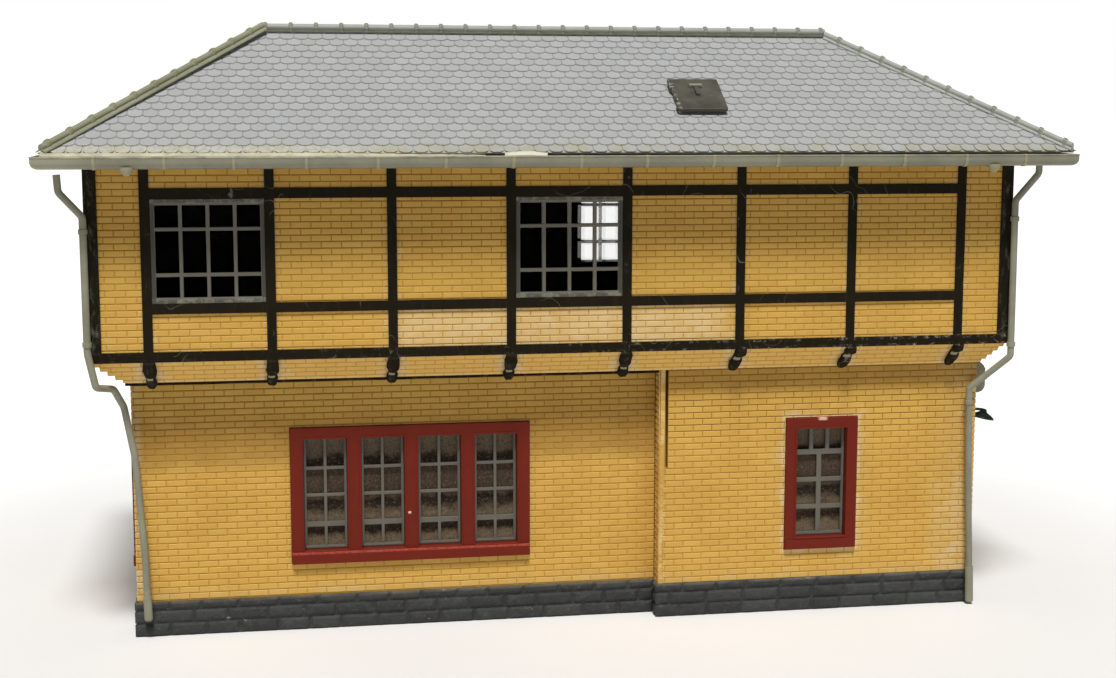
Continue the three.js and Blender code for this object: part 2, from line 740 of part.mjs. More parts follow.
// Plate with a rib that drops inside the upper walls and a rim that carries the panels.
function addCeilingPlate() {
  const halfX = GUTTER_HALF_X - 1.0;
  const halfY = ROOF_HALF_Y - 1.0;
  const ribInset = WALL + 0.35;
  const joinZ = EAVES_Z + 0.4;    // inside the plate, where rib and rim overlap it
  const plate = box(
    -halfX + GUTTER_DX, halfX + GUTTER_DX, -halfY, halfY, EAVES_Z, EAVES_Z + 0.95);
  const rib = upstand(
    UPPER_HALF_X - ribInset, UPPER_HALF_Y - ribInset, EAVES_Z - 1.2, joinZ, 0);
  const rim = upstand(halfX, halfY, joinZ, ROOF_EDGE_Z, GUTTER_DX);
  add(roof, 'ceiling_plate', union([plate, rib, rim]), FINISH.slab);
}

// A half-round channel round all four sides, with a higher outer lip.
function addGutter() {
  const axisOut = 0.15;           // channel axis outside the tile edge rectangle
  const axisZ = 75.52;
  const outerR = 1.05;
  const innerR = 0.65;
  const innerLipZ = 75.53;
  const outerLipZ = 76.35;
  const segments = 8;
  const arcPoint = (radius, i) => {
    const angle = Math.PI + (i / segments) * Math.PI;
    return [axisOut + radius * Math.cos(angle), axisZ + radius * Math.sin(angle)];
  };
  const profile = [[axisOut - outerR, innerLipZ]];
  for (let i = 0; i <= segments; i++) profile.push(arcPoint(outerR, i));
  profile.push([axisOut + outerR, outerLipZ], [axisOut + innerR, outerLipZ]);
  for (let i = segments; i >= 0; i--) profile.push(arcPoint(innerR, i));
  profile.push([axisOut - innerR, innerLipZ]);
  const channel = mitredRing(profile, GUTTER_HALF_X, ROOF_HALF_Y);
  addShifted('gutter', channel, GUTTER_DX, FINISH.gutter);
}

// Section of a cap: rounded top and a V underside that sits over the joint.
function capProfile({ halfW, fall, rise }) {
  const arcSegments = 8;
  const drop = fall * halfW;      // of the slopes at the edge of the cap
  const points = [];
  for (let i = 0; i <= arcSegments; i++) {
    const angle = (i / arcSegments) * Math.PI;
    points.push([halfW * Math.cos(angle), 0.34 - drop + (rise + drop) * Math.sin(angle)]);
  }
  points.push([-halfW, 0.1 - drop], [0, 0.1], [halfW, 0.1 - drop]);
  return points.map((point) => new THREE.Vector2(...point));
}

function addRidgeCap() {
  const profile = capProfile({ halfW: 1.15, fall: SLOPE, rise: 0.75 });
  const end = RIDGE_HALF_X + 0.75;
  const sectionAt = (x) => profile.map((p) => new THREE.Vector3(x, p.x, RIDGE_Z + p.y));
  const cap = loft(sectionAt(-end), sectionAt(end), profile);
  addShifted('ridge_cap', cap, ROOF_DX, FINISH.oliveTrim);
}

function hipCap(signX, signY) {
  const profile = capProfile({ halfW: 1.05, fall: SLOPE / Math.SQRT2, rise: 0.7 });
  // `distance` is measured in plan from the ridge end along the hip
  const sectionAt = (distance) => profile.map((p) => {
    const run = distance / Math.SQRT2;
    const across = p.x / Math.SQRT2;
    return new THREE.Vector3(
      signX * (RIDGE_HALF_X + run - across),
      signY * (run + across),
      RIDGE_Z - run * SLOPE + p.y);
  });
  return loft(sectionAt(1.75), sectionAt(ROOF_HALF_Y * Math.SQRT2 - 0.5), profile);
}

function addHipCaps() {
  for (const [depthName, signY] of [['front', -1], ['back', 1]]) {
    for (const [sideName, signX] of [['left', -1], ['right', 1]]) {
      const name = `hip_cap_${depthName}_${sideName}`;
      addShifted(name, hipCap(signX, signY), ROOF_DX, FINISH.oliveTrim);
    }
  }
}

// A slab parallel to the front slope, between two heights above it.
function slopeSlab(x0, x1, y0, y1, low, high) {
  const points = [];
  for (const x of [x0, x1]) {
    for (const y of [y0, y1]) {
      for (const h of [low, high]) {
        points.push([x, y - h * Math.sin(PITCH), longSlopeZ(x, y) + h * Math.cos(PITCH)]);
      }
    }
  }
  return hull(points);
}

// A low frame on the front slope under a lid with a T-shaped raised grip.
function addHatch() {
  const plan = [17.75, 26.05, -23.3, -15.1];   // x0, x1, y0, y1
  const [x0, x1, y0] = plan;
  const middle = (x0 + x1) / 2;
  const frame = cut(
    slopeSlab(...inset(plan, 0.35), 0.05, 0.5), [slopeSlab(...inset(plan, 1.4), -1, 3)]);
  const lid = union([
    slopeSlab(...plan, 0.55, 1.1),
    slopeSlab(middle - 0.35, middle + 0.35, y0 + 3.6, y0 + 5.9, 1.0, 1.55),
    slopeSlab(middle - 1.4, middle + 1.4, y0 + 5.2, y0 + 6.1, 1.0, 1.75),
  ]);
  add(roof, 'hatch_frame', frame, FINISH.hatchFrame);
  add(hatch, 'hatch_lid', lid, FINISH.hatchLid);
}

// ------------------------------------------------------------------ assembly
addBase();
addPlinth();
addLowerWalls();
addLowerWindows();
addEntrance();
addWallLamp();
addCove();
addSoffit();
addConsole();
addUpperFloor();
UPPER_SIDES.forEach(addUpperWall);
UPPER_SIDES.forEach(addTimber);
UPPER_SIDES.forEach(addUpperWindows);
UPPER_SIDES.forEach(addUpperGlazing);
addLightMask();
addDownpipes();
addRoofPanels();
addCeilingPlate();
addGutter();
addRidgeCap();
addHipCaps();
addHatch();

export default group;
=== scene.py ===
"""Looks for the railway signal-box building: a brick lower storey, a jettied timber-framed
upper storey and a hipped tile roof.

The building stands on z = 0 with its long sides along x. Its front faces -y and its left end -x.
Lengths are in millimetres and become metres when a mesh is made.
"""

import math
import random
from functools import cached_property, reduce

import bpy
import numpy as np
from mathutils import Matrix, Vector, noise

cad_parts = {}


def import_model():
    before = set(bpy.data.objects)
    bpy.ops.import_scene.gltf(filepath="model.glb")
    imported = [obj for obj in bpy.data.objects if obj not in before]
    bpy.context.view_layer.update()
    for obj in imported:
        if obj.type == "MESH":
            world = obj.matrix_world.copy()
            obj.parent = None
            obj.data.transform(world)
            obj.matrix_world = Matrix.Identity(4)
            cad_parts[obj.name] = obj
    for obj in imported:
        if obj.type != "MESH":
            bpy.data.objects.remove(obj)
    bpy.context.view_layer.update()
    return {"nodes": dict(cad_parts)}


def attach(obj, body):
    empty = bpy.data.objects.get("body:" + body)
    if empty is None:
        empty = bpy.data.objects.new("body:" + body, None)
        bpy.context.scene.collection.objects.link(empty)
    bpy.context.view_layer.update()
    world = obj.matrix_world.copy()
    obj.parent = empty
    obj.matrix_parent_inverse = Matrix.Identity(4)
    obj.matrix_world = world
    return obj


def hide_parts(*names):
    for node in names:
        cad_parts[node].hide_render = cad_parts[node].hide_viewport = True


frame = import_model()
MM = 0.001
rng = random.Random(11)

# ------------------------------------------------------------------ dimensions
# Rectangles are (along low, along high, up low, up high) on the plane they lie on.
GAP = 0.03                                   # fitting gap between pieces
WALL = 1.6
UPPER_X, UPPER_Y = 73.25, 26.0               # half size of the upper storey
Z_SOLE, Z_EAVES, Z_LOWER, Z_PLINTH = 44.95, 75.0, 43.95, 5.7
WALL_TOP = Z_EAVES - GAP

BAY, POSTS, POST_W, CORNER_W = 18.5, 8, 1.45, 1.6
SOLE_RAIL, MID_RAIL, TOP_RAIL = (Z_SOLE, 46.5), (52.3, 53.85), (69.75, 71.3)
SIDE_POST_Y = BAY / 2
TIMBER_T = 0.35

LEFT_X, RIGHT_X = -68.2, 69.85               # ends of the lower storey
FRONT_Y, PROUD_Y, BACK_Y = 19.7, 22.7, 22.7  # its depths: left front, projecting right front, back
STEP_X = 15.4                                # where the projecting part starts

COVE_Z, COVE_Y = 41.25, 22.9                 # foot of the cove under the upper storey
COVE_LEFT, COVE_RIGHT = LEFT_X - 0.1, RIGHT_X + 0.1
COVE_TOP = Z_SOLE - GAP

WIDE_WINDOW = (-43.95, -5.5, 10.8, 33.0)
SMALL_WINDOW = (36.8, 49.1, 10.5, 32.75)
SIDE_WINDOW = (-16.4, -4.6, 10.55, 32.7)
DOOR = (-18.9, -6.1, 0.9, 25.4)
DOOR_FRAME_W = 0.95

EAVES_X, EAVES_Y, EAVES_Z = 80.0, 32.6, 76.95
ROOF_SHIFT = 1.1                             # the tiled roof sits this far to the right
GUTTER_X, GUTTER_SHIFT = 79.38, 0.62
PITCH = math.radians(30.29)
TAN, COS, SIN = math.tan(PITCH), math.cos(PITCH), math.sin(PITCH)
RIDGE_X = EAVES_X - EAVES_Y                  # half length of the ridge
RIDGE_Z = EAVES_Z + EAVES_Y * TAN
SLOPE = EAVES_Y / COS
HATCH = (17.75, 26.05, -23.3, -15.1)         # x and y limits of the roof hatch
PIPE_R = 0.55

COURSE, BRICK_L = 1.02, BAY / 6
MORTAR_DEPTH = 0.1


def post_x(i):
    return (i - (POSTS - 1) / 2) * BAY


def bay_rect(i):
    """Opening between posts i and i + 1, above the middle rail."""
    return (post_x(i) + POST_W / 2, post_x(i + 1) - POST_W / 2, MID_RAIL[1], TOP_RAIL[0])


SIDE_RECT = (-SIDE_POST_Y + POST_W / 2, SIDE_POST_Y - POST_W / 2, MID_RAIL[1], TOP_RAIL[0])
FRONT_BAYS, BACK_BAYS = (0, 3), (1, 2, 4, 5)   # bays with a window


# ------------------------------------------------------------------ planes
class Plane:
    """Frame on a surface: one axis along it, one up it and one outwards."""

    def __init__(self, origin, along, up, out):
        self.origin, self.along, self.up, self.out = (
            np.array(axis, float) for axis in (origin, along, up, out))
        self.flip = np.dot(np.cross(self.along, self.up), self.out) < 0

    def at(self, along, up, out=0.0):
        return tuple(self.origin + self.along * along + self.up * up + self.out * out)


def front(y):
    return Plane((0, y, 0), (1, 0, 0), (0, 0, 1), (0, -1, 0))


def rear(y):
    return Plane((0, y, 0), (1, 0, 0), (0, 0, 1), (0, 1, 0))


def left(x):
    return Plane((x, 0, 0), (0, 1, 0), (0, 0, 1), (-1, 0, 0))


def right(x):
    return Plane((x, 0, 0), (0, 1, 0), (0, 0, 1), (1, 0, 0))


def cove_side(axis, sign, foot, top):
    """Sloping plane of the cove facing sign along axis (0 is x, 1 is y), and its height."""
    run, rise = top - foot, COVE_TOP - COVE_Z
    length = math.hypot(run, rise)

    def vector(outward, up):
        result = [0, 0, up]
        result[axis] = sign * outward
        return result

    along = [0, 0, 0]
    along[1 - axis] = 1
    plane = Plane(vector(foot, COVE_Z), along, vector(run / length, rise / length),
                  vector(rise / length, -run / length))
    return plane, length


GROUND = Plane((0, 0, 0), (1, 0, 0), (0, 1, 0), (0, 0, 1))
UPPER_FACES = {"front": front(-UPPER_Y), "back": rear(UPPER_Y),
               "left": left(-UPPER_X), "right": right(UPPER_X)}
LONG_SIDES = ("front", "back")
COVES = {"front": cove_side(1, -1, COVE_Y, UPPER_Y), "back": cove_side(1, 1, COVE_Y, UPPER_Y),
         "left": cove_side(0, -1, -COVE_LEFT, UPPER_X),
         "right": cove_side(0, 1, COVE_RIGHT, UPPER_X)}


# ------------------------------------------------------------------ mesh helpers
class Shape:
    """Vertices and faces, with a shade (0 to 1) per vertex and a material slot per face."""

    def __init__(self):
        self.verts, self.faces, self.shades, self.slots = [], [], [], []

    def add(self, verts, faces, shade=0.5, slot=0):
        first = len(self.verts)
        self.verts.extend(verts)
        self.faces.extend(tuple(first + i for i in face) for face in faces)
        self.shades.extend(shade if isinstance(shade, list) else [shade] * len(verts))
        self.slots.extend([slot] * len(faces))


def wobble(x, y, z):
    return noise.noise(Vector((x, y, z)))


def put(shape, plane, points, faces, shade=0.5, slot=0):
    """Add points given as (along, up, out) on a plane."""
    if plane.flip:
        faces = [face[::-1] for face in faces]
    shape.add([plane.at(*point) for point in points], faces, shade, slot)


# Faces of one cell of a plate: step to the neighbour that hides it, and its corners.
CELL_FACES = (
    (None, ((0, 0, 1), (1, 0, 1), (1, 1, 1), (0, 1, 1))),
    (None, ((0, 0, 0), (0, 1, 0), (1, 1, 0), (1, 0, 0))),
    ((-1, 0), ((0, 0, 0), (0, 0, 1), (0, 1, 1), (0, 1, 0))),
    ((1, 0), ((1, 0, 0), (1, 1, 0), (1, 1, 1), (1, 0, 1))),
    ((0, -1), ((0, 0, 0), (1, 0, 0), (1, 0, 1), (0, 0, 1))),
    ((0, 1), ((0, 1, 0), (0, 1, 1), (1, 1, 1), (1, 1, 0))),
)


def plate(shape, plane, rect, holes, back, face, shade=0.5, slot=0):
    """Flat plate with rectangular holes, between the out distances back and face."""
    def grid_lines(k):
        low, high = rect[k], rect[k + 1]
        return sorted({low, high, *(min(max(hole[i], low), high)
                                    for hole in holes for i in (k, k + 1))})

    columns, rows = grid_lines(0), grid_lines(2)

    def filled(i, j):
        if i < 0 or j < 0 or i >= len(columns) - 1 or j >= len(rows) - 1:
            return False
        along, up = (columns[i] + columns[i + 1]) / 2, (rows[j] + rows[j + 1]) / 2
        return not any(h[0] < along < h[1] and h[2] < up < h[3] for h in holes)

    numbers, points, faces = {}, [], []

    def corner(i, j, k):
        if (i, j, k) not in numbers:
            numbers[(i, j, k)] = len(points)
            points.append((columns[i], rows[j], (back, face)[k]))
        return numbers[(i, j, k)]

    for i in range(len(columns) - 1):
        for j in range(len(rows) - 1):
            if not filled(i, j):
                continue
            for step, corners in CELL_FACES:
                if step is None or not filled(i + step[0], j + step[1]):
                    faces.append(tuple(corner(i + di, j + dj, k) for di, dj, k in corners))
    put(shape, plane, points, faces, shade, slot)


def inset(rect, by):
    return (rect[0] + by, rect[1] - by, rect[2] + by, rect[3] - by)


def minus(rect, hole):
    """Rectangle less a hole, as up to four rectangles."""
    if hole[0] >= rect[1] or hole[1] <= rect[0] or hole[2] >= rect[3] or hole[3] <= rect[2]:
        return [rect]
    pieces = []
    if hole[0] > rect[0]:
        pieces.append((rect[0], hole[0], rect[2], rect[3]))
    if hole[1] < rect[1]:
        pieces.append((hole[1], rect[1], rect[2], rect[3]))
    low, high = max(rect[0], hole[0]), min(rect[1], hole[1])
    if hole[2] > rect[2]:
        pieces.append((low, high, rect[2], hole[2]))
    if hole[3] < rect[3]:
        pieces.append((low, high, hole[3], rect[3]))
    return pieces


def brick(shape, plane, rect, back, face, shade, tilt, chamfer=0.085):
    """Block with chamfered outer edges; tilt pushes its upper edge outwards."""
    a0, a1, v0, v1 = rect
    cut = min(chamfer, (a1 - a0) * 0.3, (v1 - v0) * 0.3)
    side = face - cut
    points = [(a0, v0, back), (a1, v0, back), (a1, v1, back), (a0, v1, back),
              (a0, v0, side), (a1, v0, side), (a1, v1, side + tilt), (a0, v1, side + tilt),
              (a0 + cut, v0 + cut, face), (a1 - cut, v0 + cut, face),
              (a1 - cut, v1 - cut, face + tilt), (a0 + cut, v1 - cut, face + tilt)]
    faces = [(3, 2, 1, 0), (8, 9, 10, 11)]
    for k in range(4):
        n = (k + 1) % 4
        faces += [(k, n, 4 + n, 4 + k), (4 + k, 4 + n, 8 + n, 8 + k)]
    put(shape, plane, points, faces, shade)


def bricks(shape, plane, rect, holes=(), line=69.23, shift=0.0, ends=None, joint=0.15, face=0.0):
    """Running bond over rect with a bed joint at height line, moved sideways by shift.

    ends(low, high) may give a course its own side limits.
    """
    row = math.floor((rect[2] - line) / COURSE) - 1
    while line + row * COURSE < rect[3]:
        low = max(line + row * COURSE + joint / 2, rect[2])
        high = min(line + (row + 1) * COURSE - joint / 2, rect[3])
        start = shift + (row % 2) * BRICK_L / 2
        row += 1
        if high - low < 0.15:
            continue
        first, last = ends(low, high) if ends else rect[:2]
        column = math.floor((first - start) / BRICK_L) - 1
        while start + column * BRICK_L < last:
            a0 = max(start + column * BRICK_L + joint * 0.3, first)
            a1 = min(start + (column + 1) * BRICK_L - joint * 0.3, last)
            column += 1
            if a1 - a0 < 0.15:
                continue
            pieces = [(a0, a1, low, high)]
            for hole in holes:
                pieces = [piece for old in pieces for piece in minus(old, hole)]
            shade = rng.random()
            for piece in pieces:
                if piece[1] - piece[0] < 0.14 or piece[3] - piece[2] < 0.14:
                    continue
                at_end = ends and (piece[0] - first < 0.05 or last - piece[1] < 0.05)
                brick(shape, plane, piece, face - (0.85 if at_end else 0.15),
                      face + rng.uniform(-0.012, 0.008), shade, rng.uniform(-0.012, 0.012))


def grid_faces(columns, rows):
    """Faces of a point grid stored row by row."""
    corners = [j * (columns + 1) + i for j in range(rows) for i in range(columns)]
    return [(k, k + 1, k + columns + 2, k + columns + 1) for k in corners]


def grid_rim(columns, rows):
    """Point numbers round the edge of such a grid."""
    width = columns + 1
    return ([i for i in range(width)]
            + [j * width + columns for j in range(1, rows + 1)]
            + [rows * width + i for i in range(columns - 1, -1, -1)]
            + [j * width for j in range(rows - 1, 0, -1)])


def clip(polygon, lines):
    """Convex polygon cut to the half planes x * along + y * up <= limit."""
    for (x, y, limit) in lines:
        kept = []
        for i, here in enumerate(polygon):
            there = polygon[(i + 1) % len(polygon)]
            over, next_over = (x * p[0] + y * p[1] - limit for p in (here, there))
            if over <= 0:
                kept.append(here)
            if (over < 0 < next_over) or (next_over < 0 < over):
                t = over / (over - next_over)
                kept.append((here[0] + (there[0] - here[0]) * t,
                             here[1] + (there[1] - here[1]) * t))
        polygon = kept
        if len(polygon) < 3:
            return []
    return polygon


def area(polygon):
    return 0.5 * sum(p[0] * q[1] - q[0] * p[1]
                     for p, q in zip(polygon, polygon[1:] + polygon[:1]))


def prism(shape, plane, polygon, low, high, shade=0.5):
    """Polygon between two out distances, each a number or a function of (along, up)."""
    if area(polygon) < 0:
        polygon = polygon[::-1]
    count = len(polygon)
    points = []
    for level in (low, high):
        points += [(a, v, level(a, v) if callable(level) else level) for a, v in polygon]
    faces = [tuple(range(count - 1, -1, -1)), tuple(range(count, 2 * count))]
    faces += [(i, (i + 1) % count, count + (i + 1) % count, count + i) for i in range(count)]
    put(shape, plane, points, faces, shade)


def loft(shape, rings, shade=0.5, slot=0, loop=False):
    """Skin through rings of equal counts, capped unless it loops, with faces turned outwards.

    shade may be one number, or a list per ring or per vertex.
    """
    count = len(rings[0])
    verts = [tuple(point) for ring in rings for point in ring]
    faces = []
    for k in range(len(rings) if loop else len(rings) - 1):
        near, far = k * count, (k + 1) % len(rings) * count
        for i in range(count):
            j = (i + 1) % count
            faces.append((near + i, near + j, far + j, far + i))
    if not loop:
        faces.append(tuple(range(count - 1, -1, -1)))
        faces.append(tuple(range(len(verts) - count, len(verts))))
    # A negative signed volume means that the faces look inwards.
    points = np.array(verts, float)
    centre = points.mean(0)
    volume = 0.0
    for face in faces:
        p = points[list(face)] - centre
        for i in range(1, len(face) - 1):
            volume += np.dot(p[0], np.cross(p[i], p[i + 1]))
    if volume < 0:
        faces = [face[::-1] for face in faces]
    if isinstance(shade, list) and len(shade) != len(verts):
        shade = [value for value in shade for _ in range(count)]
    shape.add(verts, faces, shade, slot)


def straight(start, end, spacing):
    """Points after start up to end."""
    count = max(1, int(np.linalg.norm(end - start) / spacing))
    return [start + (end - start) * (k / count) for k in range(1, count + 1)]


def smooth_path(corners, soft, spacing):
    """Polyline with each bend rounded by a quadratic curve starting soft before it."""
    points = [np.array(corner, float) for corner in corners]
    path, last = [points[0]], points[0]
    for before, bend, after in zip(points, points[1:], points[2:]):
        start, end = (bend + (other - bend) * min(0.45, soft / np.linalg.norm(other - bend))
                      for other in (before, after))
        path += straight(last, start, spacing)
        path += [start * (1 - t) ** 2 + bend * 2 * t * (1 - t) + end * t * t
                 for t in (0.2, 0.4, 0.6, 0.8, 1.0)]
        last = end
    return path + straight(last, points[-1], spacing)


def circle(centre, first, second, radius, count):
    """Ring of points; first and second are unit vectors across the axis."""
    turns = [2 * math.pi * k / count for k in range(count)]
    return [centre + (first * math.cos(turn) + second * math.sin(turn)) * radius
            for turn in turns]


def tube(shape, path, radii, sides, shade=0.5):
    """Round bar along a polyline; radii is one number or a list per point."""
    points = [np.array(point, float) for point in path]
    last = len(points) - 1
    if not isinstance(radii, list):
        radii = [radii] * len(points)
    tangents = [points[min(i + 1, last)] - points[max(i - 1, 0)] for i in range(last + 1)]
    tangents = [tangent / np.linalg.norm(tangent) for tangent in tangents]
    reference = np.array([0, 0, 1.0]) if abs(tangents[0][2]) < 0.9 else np.array([0, 1.0, 0])
    across = np.cross(tangents[0], reference)
    across /= np.linalg.norm(across)
    rings = []
    for point, tangent, radius in zip(points, tangents, radii):
        across = across - tangent * np.dot(across, tangent)
        across /= np.linalg.norm(across)
        rings.append(circle(point, across, np.cross(tangent, across), radius, sides))
    loft(shape, rings, shade)


def lathe(shape, centre, axis, profile, sides, shade=0.5):
    """Turned body; profile is (radius, distance along the axis) from pole to pole."""
    centre = np.array(centre, float)
    axis = np.array(axis, float) / np.linalg.norm(axis)
    reference = np.array([1.0, 0, 0]) if abs(axis[0]) < 0.8 else np.array([0, 1.0, 0])
    across = np.cross(axis, reference)
    across /= np.linalg.norm(across)
    other = np.cross(axis, across)
    loft(shape, [circle(centre + axis * along, across, other, max(radius, 0.01), sides)
                 for radius, along in profile], shade)


def link(name, data):
    obj = bpy.data.objects.new(name, data)
    bpy.context.scene.collection.objects.link(obj)
    return obj


def add_bevel(obj, width, segments, angle):
    edge = obj.modifiers.new("edge", "BEVEL")
    edge.width, edge.segments = width * MM, segments
    edge.limit_method, edge.angle_limit = "ANGLE", math.radians(angle)
    return edge


def make(name, shape, materials, stands=None, body="building", bevel=0.0, segments=2,
         smooth=None):
    """Mesh object riding on a body; it may stand for a CAD piece. smooth is an angle."""
    mesh = bpy.data.meshes.new(name)
    mesh.from_pydata([(x * MM, y * MM, z * MM) for x, y, z in shape.verts], [], shape.faces)
    shades = mesh.attributes.new("rnd", "FLOAT", "POINT")
    shades.data.foreach_set("value", np.array(shape.shades, np.float32))
    for material in materials:
        mesh.materials.append(material)
    mesh.polygons.foreach_set("material_index", np.array(shape.slots, np.int32))
    if smooth:
        mesh.shade_smooth()
        mesh.set_sharp_from_angle(angle=math.radians(smooth))
    mesh.validate()
    mesh.update()
    obj = link(name, mesh)
    if bevel:
        add_bevel(obj, bevel, segments, angle=32).use_clamp_overlap = True
    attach(obj, body)
    if stands:
        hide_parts(stands)


# ------------------------------------------------------------------ material builder
def linear(rgb):
    """sRGB bytes as a linear RGBA colour."""
    return tuple(c / 12.92 if c <= 0.04045 else ((c + 0.055) / 1.055) ** 2.4
                 for c in (byte / 255 for byte in rgb)) + (1.0,)


class Material:
    """Principled material in object space; tints are laid one over another on its colour.

    Spans are the input limits of a fade and to its output limits.
    """

    def __init__(self, name):
        self.data = bpy.data.materials.new(name)
        self.data.use_nodes = True
        self.tree = self.data.node_tree
        self.tree.nodes.clear()
        output = self.node("OutputMaterial")
        self.shader = self.node("BsdfPrincipled")
        self.set(output.inputs[0], self.shader.outputs[0])
        self.place = self.node("TexCoord").outputs["Object"]
        self.colour = self.normal = None

    def set(self, socket, value):
        if isinstance(value, bpy.types.NodeSocket):
            self.tree.links.new(value, socket)
        else:
            socket.default_value = value

    def node(self, kind, inputs=None, **settings):
        node = self.tree.nodes.new("ShaderNode" + kind)
        for key, value in settings.items():
            setattr(node, key, value)
        for key, value in (inputs or {}).items():
            self.set(node.inputs[key], value)
        return node

    @cached_property
    def split(self):
        return self.node("SeparateXYZ", {0: self.place}).outputs

    @cached_property
    def x(self):
        return self.mul(self.split[0], 1000.0)

    @cached_property
    def y(self):
        return self.mul(self.split[1], 1000.0)

    @cached_property
    def z(self):
        return self.mul(self.split[2], 1000.0)

    @cached_property
    def shade(self):
        """The shade stored on the mesh by Shape."""
        return self.node("Attribute", attribute_name="rnd").outputs["Fac"]

    def math(self, operation, *values):
        return self.node("Math", dict(enumerate(values)), operation=operation).outputs[0]

    def add(self, first, second):
        return self.math("ADD", first, second)

    def sub(self, first, second):
        return self.math("SUBTRACT", first, second)

    def mul(self, *values):
        return reduce(lambda first, second: self.math("MULTIPLY", first, second), values)

    def noise(self, size, seed, detail=4.0, rough=0.6, stretch=(1, 1, 1), distort=0.0):
        """Noise with features of a size in mm; seed moves it to another place."""
        mapping = self.node("Mapping", {
            "Vector": self.place,
            "Scale": tuple(1000.0 / size / factor for factor in stretch),
            "Location": (seed * 13.7, seed * 5.1, seed * 9.3)})
        return self.node("TexNoise", {
            "Vector": mapping.outputs[0], "Scale": 1.0, "Detail": detail,
            "Roughness": rough, "Distortion": distort}).outputs[0]

    def fade(self, value, span, to=(0.0, 1.0)):
        return self.node("MapRange", dict(enumerate((value, *span, *to))),
                         interpolation_type="SMOOTHSTEP", clamp=True).outputs[0]

    def band(self, value, span, soft):
        """1 within span, falling to 0 over soft outside it."""
        low, high = span
        return self.mul(self.fade(value, (low - soft, low)),
                        self.fade(value, (high, high + soft), (1.0, 0.0)))

    def phase(self, value, pitch, offset):
        """Position within a repeat, 0 to 1; the whole-number offset keeps it positive."""
        return self.math("FRACT", self.add(self.math("DIVIDE", value, pitch), offset))

    def post_distance(self):
        """Distance along x from the nearest post."""
        middle = self.sub(self.phase(self.x, BAY, 100.0), 0.5)
        return self.mul(self.math("ABSOLUTE", middle), BAY)

    def rim(self, rect, span):
        """1 just outside a rectangle in x and z, falling to 0 over span of the distance."""
        across, upright = (
            self.math("MAXIMUM", self.sub(low, value), self.sub(value, high))
            for value, low, high in ((self.x, *rect[:2]), (self.z, *rect[2:])))
        return self.fade(self.math("MAXIMUM", across, upright), span, (1.0, 0.0))

    def mix(self, factor, first, second):
        first, second = (linear(c) if isinstance(c, tuple) else c for c in (first, second))
        return self.node("Mix", {0: factor, 6: first, 7: second},
                         data_type="RGBA", blend_type="MIX").outputs[2]

    def shades(self, by, low, high, span=None):
        """Start the colour as a mix of two."""
        self.colour = self.mix(self.fade(by, span) if span else by, low, high)

    def ramp(self, by, stops):
        """Start the colour as a ramp; stops are (position, rgb)."""
        node = self.node("ValToRGB", {0: by})
        elements = node.color_ramp.elements
        while len(elements) < len(stops):
            elements.new(0.5)
        for element, (position, rgb) in zip(elements, stops):
            element.position, element.color = position, linear(rgb)
        self.colour = node.outputs[0]

    def tint(self, rgb, by, span=None, most=1.0, least=0.0):
        """Lay a colour over what is there, by a mask or by a value faded over span."""
        if span:
            by = self.fade(by, span, (least, most))
        self.colour = self.mix(by, self.colour, rgb)

    def haze(self, rgb, mask, grain, amount):
        """Tint broken up by noise."""
        grain = self.fade(grain, span=(0.35, 0.7), to=(0.15 * amount, amount))
        self.tint(rgb, by=self.mul(mask, grain))

    def bump(self, height, depth, strength):
        inputs = {"Strength": strength, "Distance": depth * MM, "Height": height}
        if self.normal is not None:
            inputs["Normal"] = self.normal
        self.normal = self.node("Bump", inputs).outputs[0]

    def finish(self, rough, specular, by=None, span=(0.3, 0.7), **inputs):
        """Connect the shader; rough is a number, or output limits when by is given."""
        if by is not None:
            rough = self.fade(by, span, rough)
        inputs = {key.replace("_", " "): value for key, value in inputs.items()}
        inputs.update({"Base Color": self.colour, "Roughness": rough,
                       "Specular IOR Level": specular})
        if self.normal is not None:
            inputs["Normal"] = self.normal
        for key, value in inputs.items():
            self.set(self.shader.inputs[key], value)
        return self.data


# ------------------------------------------------------------------ brick and mortar
PAINTED_SHADE_BROWN = (120, 76, 24)                        # shadow tone on brick and mortar


def mortar_material():
    mat = Material("mortar")
    grain = mat.noise(size=1.2, seed=4)
    mat.shades(by=grain, low=(184, 138, 60), high=(200, 154, 74))
    # painted shade in the joints under the eaves and under the cove
    mat.tint(rgb=(118, 74, 24), by=mat.z, span=(57.0, 63.5), most=0.6)
    mat.tint(rgb=(118, 74, 24), by=mat.mul(mat.fade(mat.z, span=(28.0, 33.0), to=(0.0, 0.5)),
                                           mat.fade(mat.z, span=(41.6, 41.2))))
    mat.bump(grain, depth=0.04, strength=0.6)
    return mat.finish(by=grain, rough=(0.7, 0.85), specular=0.2)


def brick_material(name, weather_and_shade):
    mat = Material(name)
    mat.ramp(by=mat.shade, stops=((0.0, (211, 167, 77)), (0.4, (214, 170, 80)),
                                  (0.75, (215, 172, 82)), (1.0, (219, 176, 86))))
    broad = mat.noise(size=9.0, detail=3, rough=0.5, seed=1)
    mat.tint(rgb=(192, 146, 62), by=broad, span=(0.42, 0.7), most=0.35)
    grain = mat.noise(size=0.6, rough=0.7, seed=2)
    mat.tint(rgb=(236, 208, 142), by=grain, span=(0.5, 0.75), most=0.14)
    pits = mat.noise(size=0.35, detail=3, rough=0.7, seed=3)
    mat.tint(rgb=(160, 116, 48), by=pits, span=(0.62, 0.78), most=0.22)
    weather_and_shade(mat)
    # painted shade under the eaves
    mat.tint(rgb=PAINTED_SHADE_BROWN, by=mat.z, span=(61.5, 65.0), most=0.2)
    mat.bump(grain, depth=0.025, strength=0.6)
    mat.bump(pits, depth=0.015, strength=0.5)
    return mat.finish(by=grain, rough=(0.5, 0.68), specular=0.25)


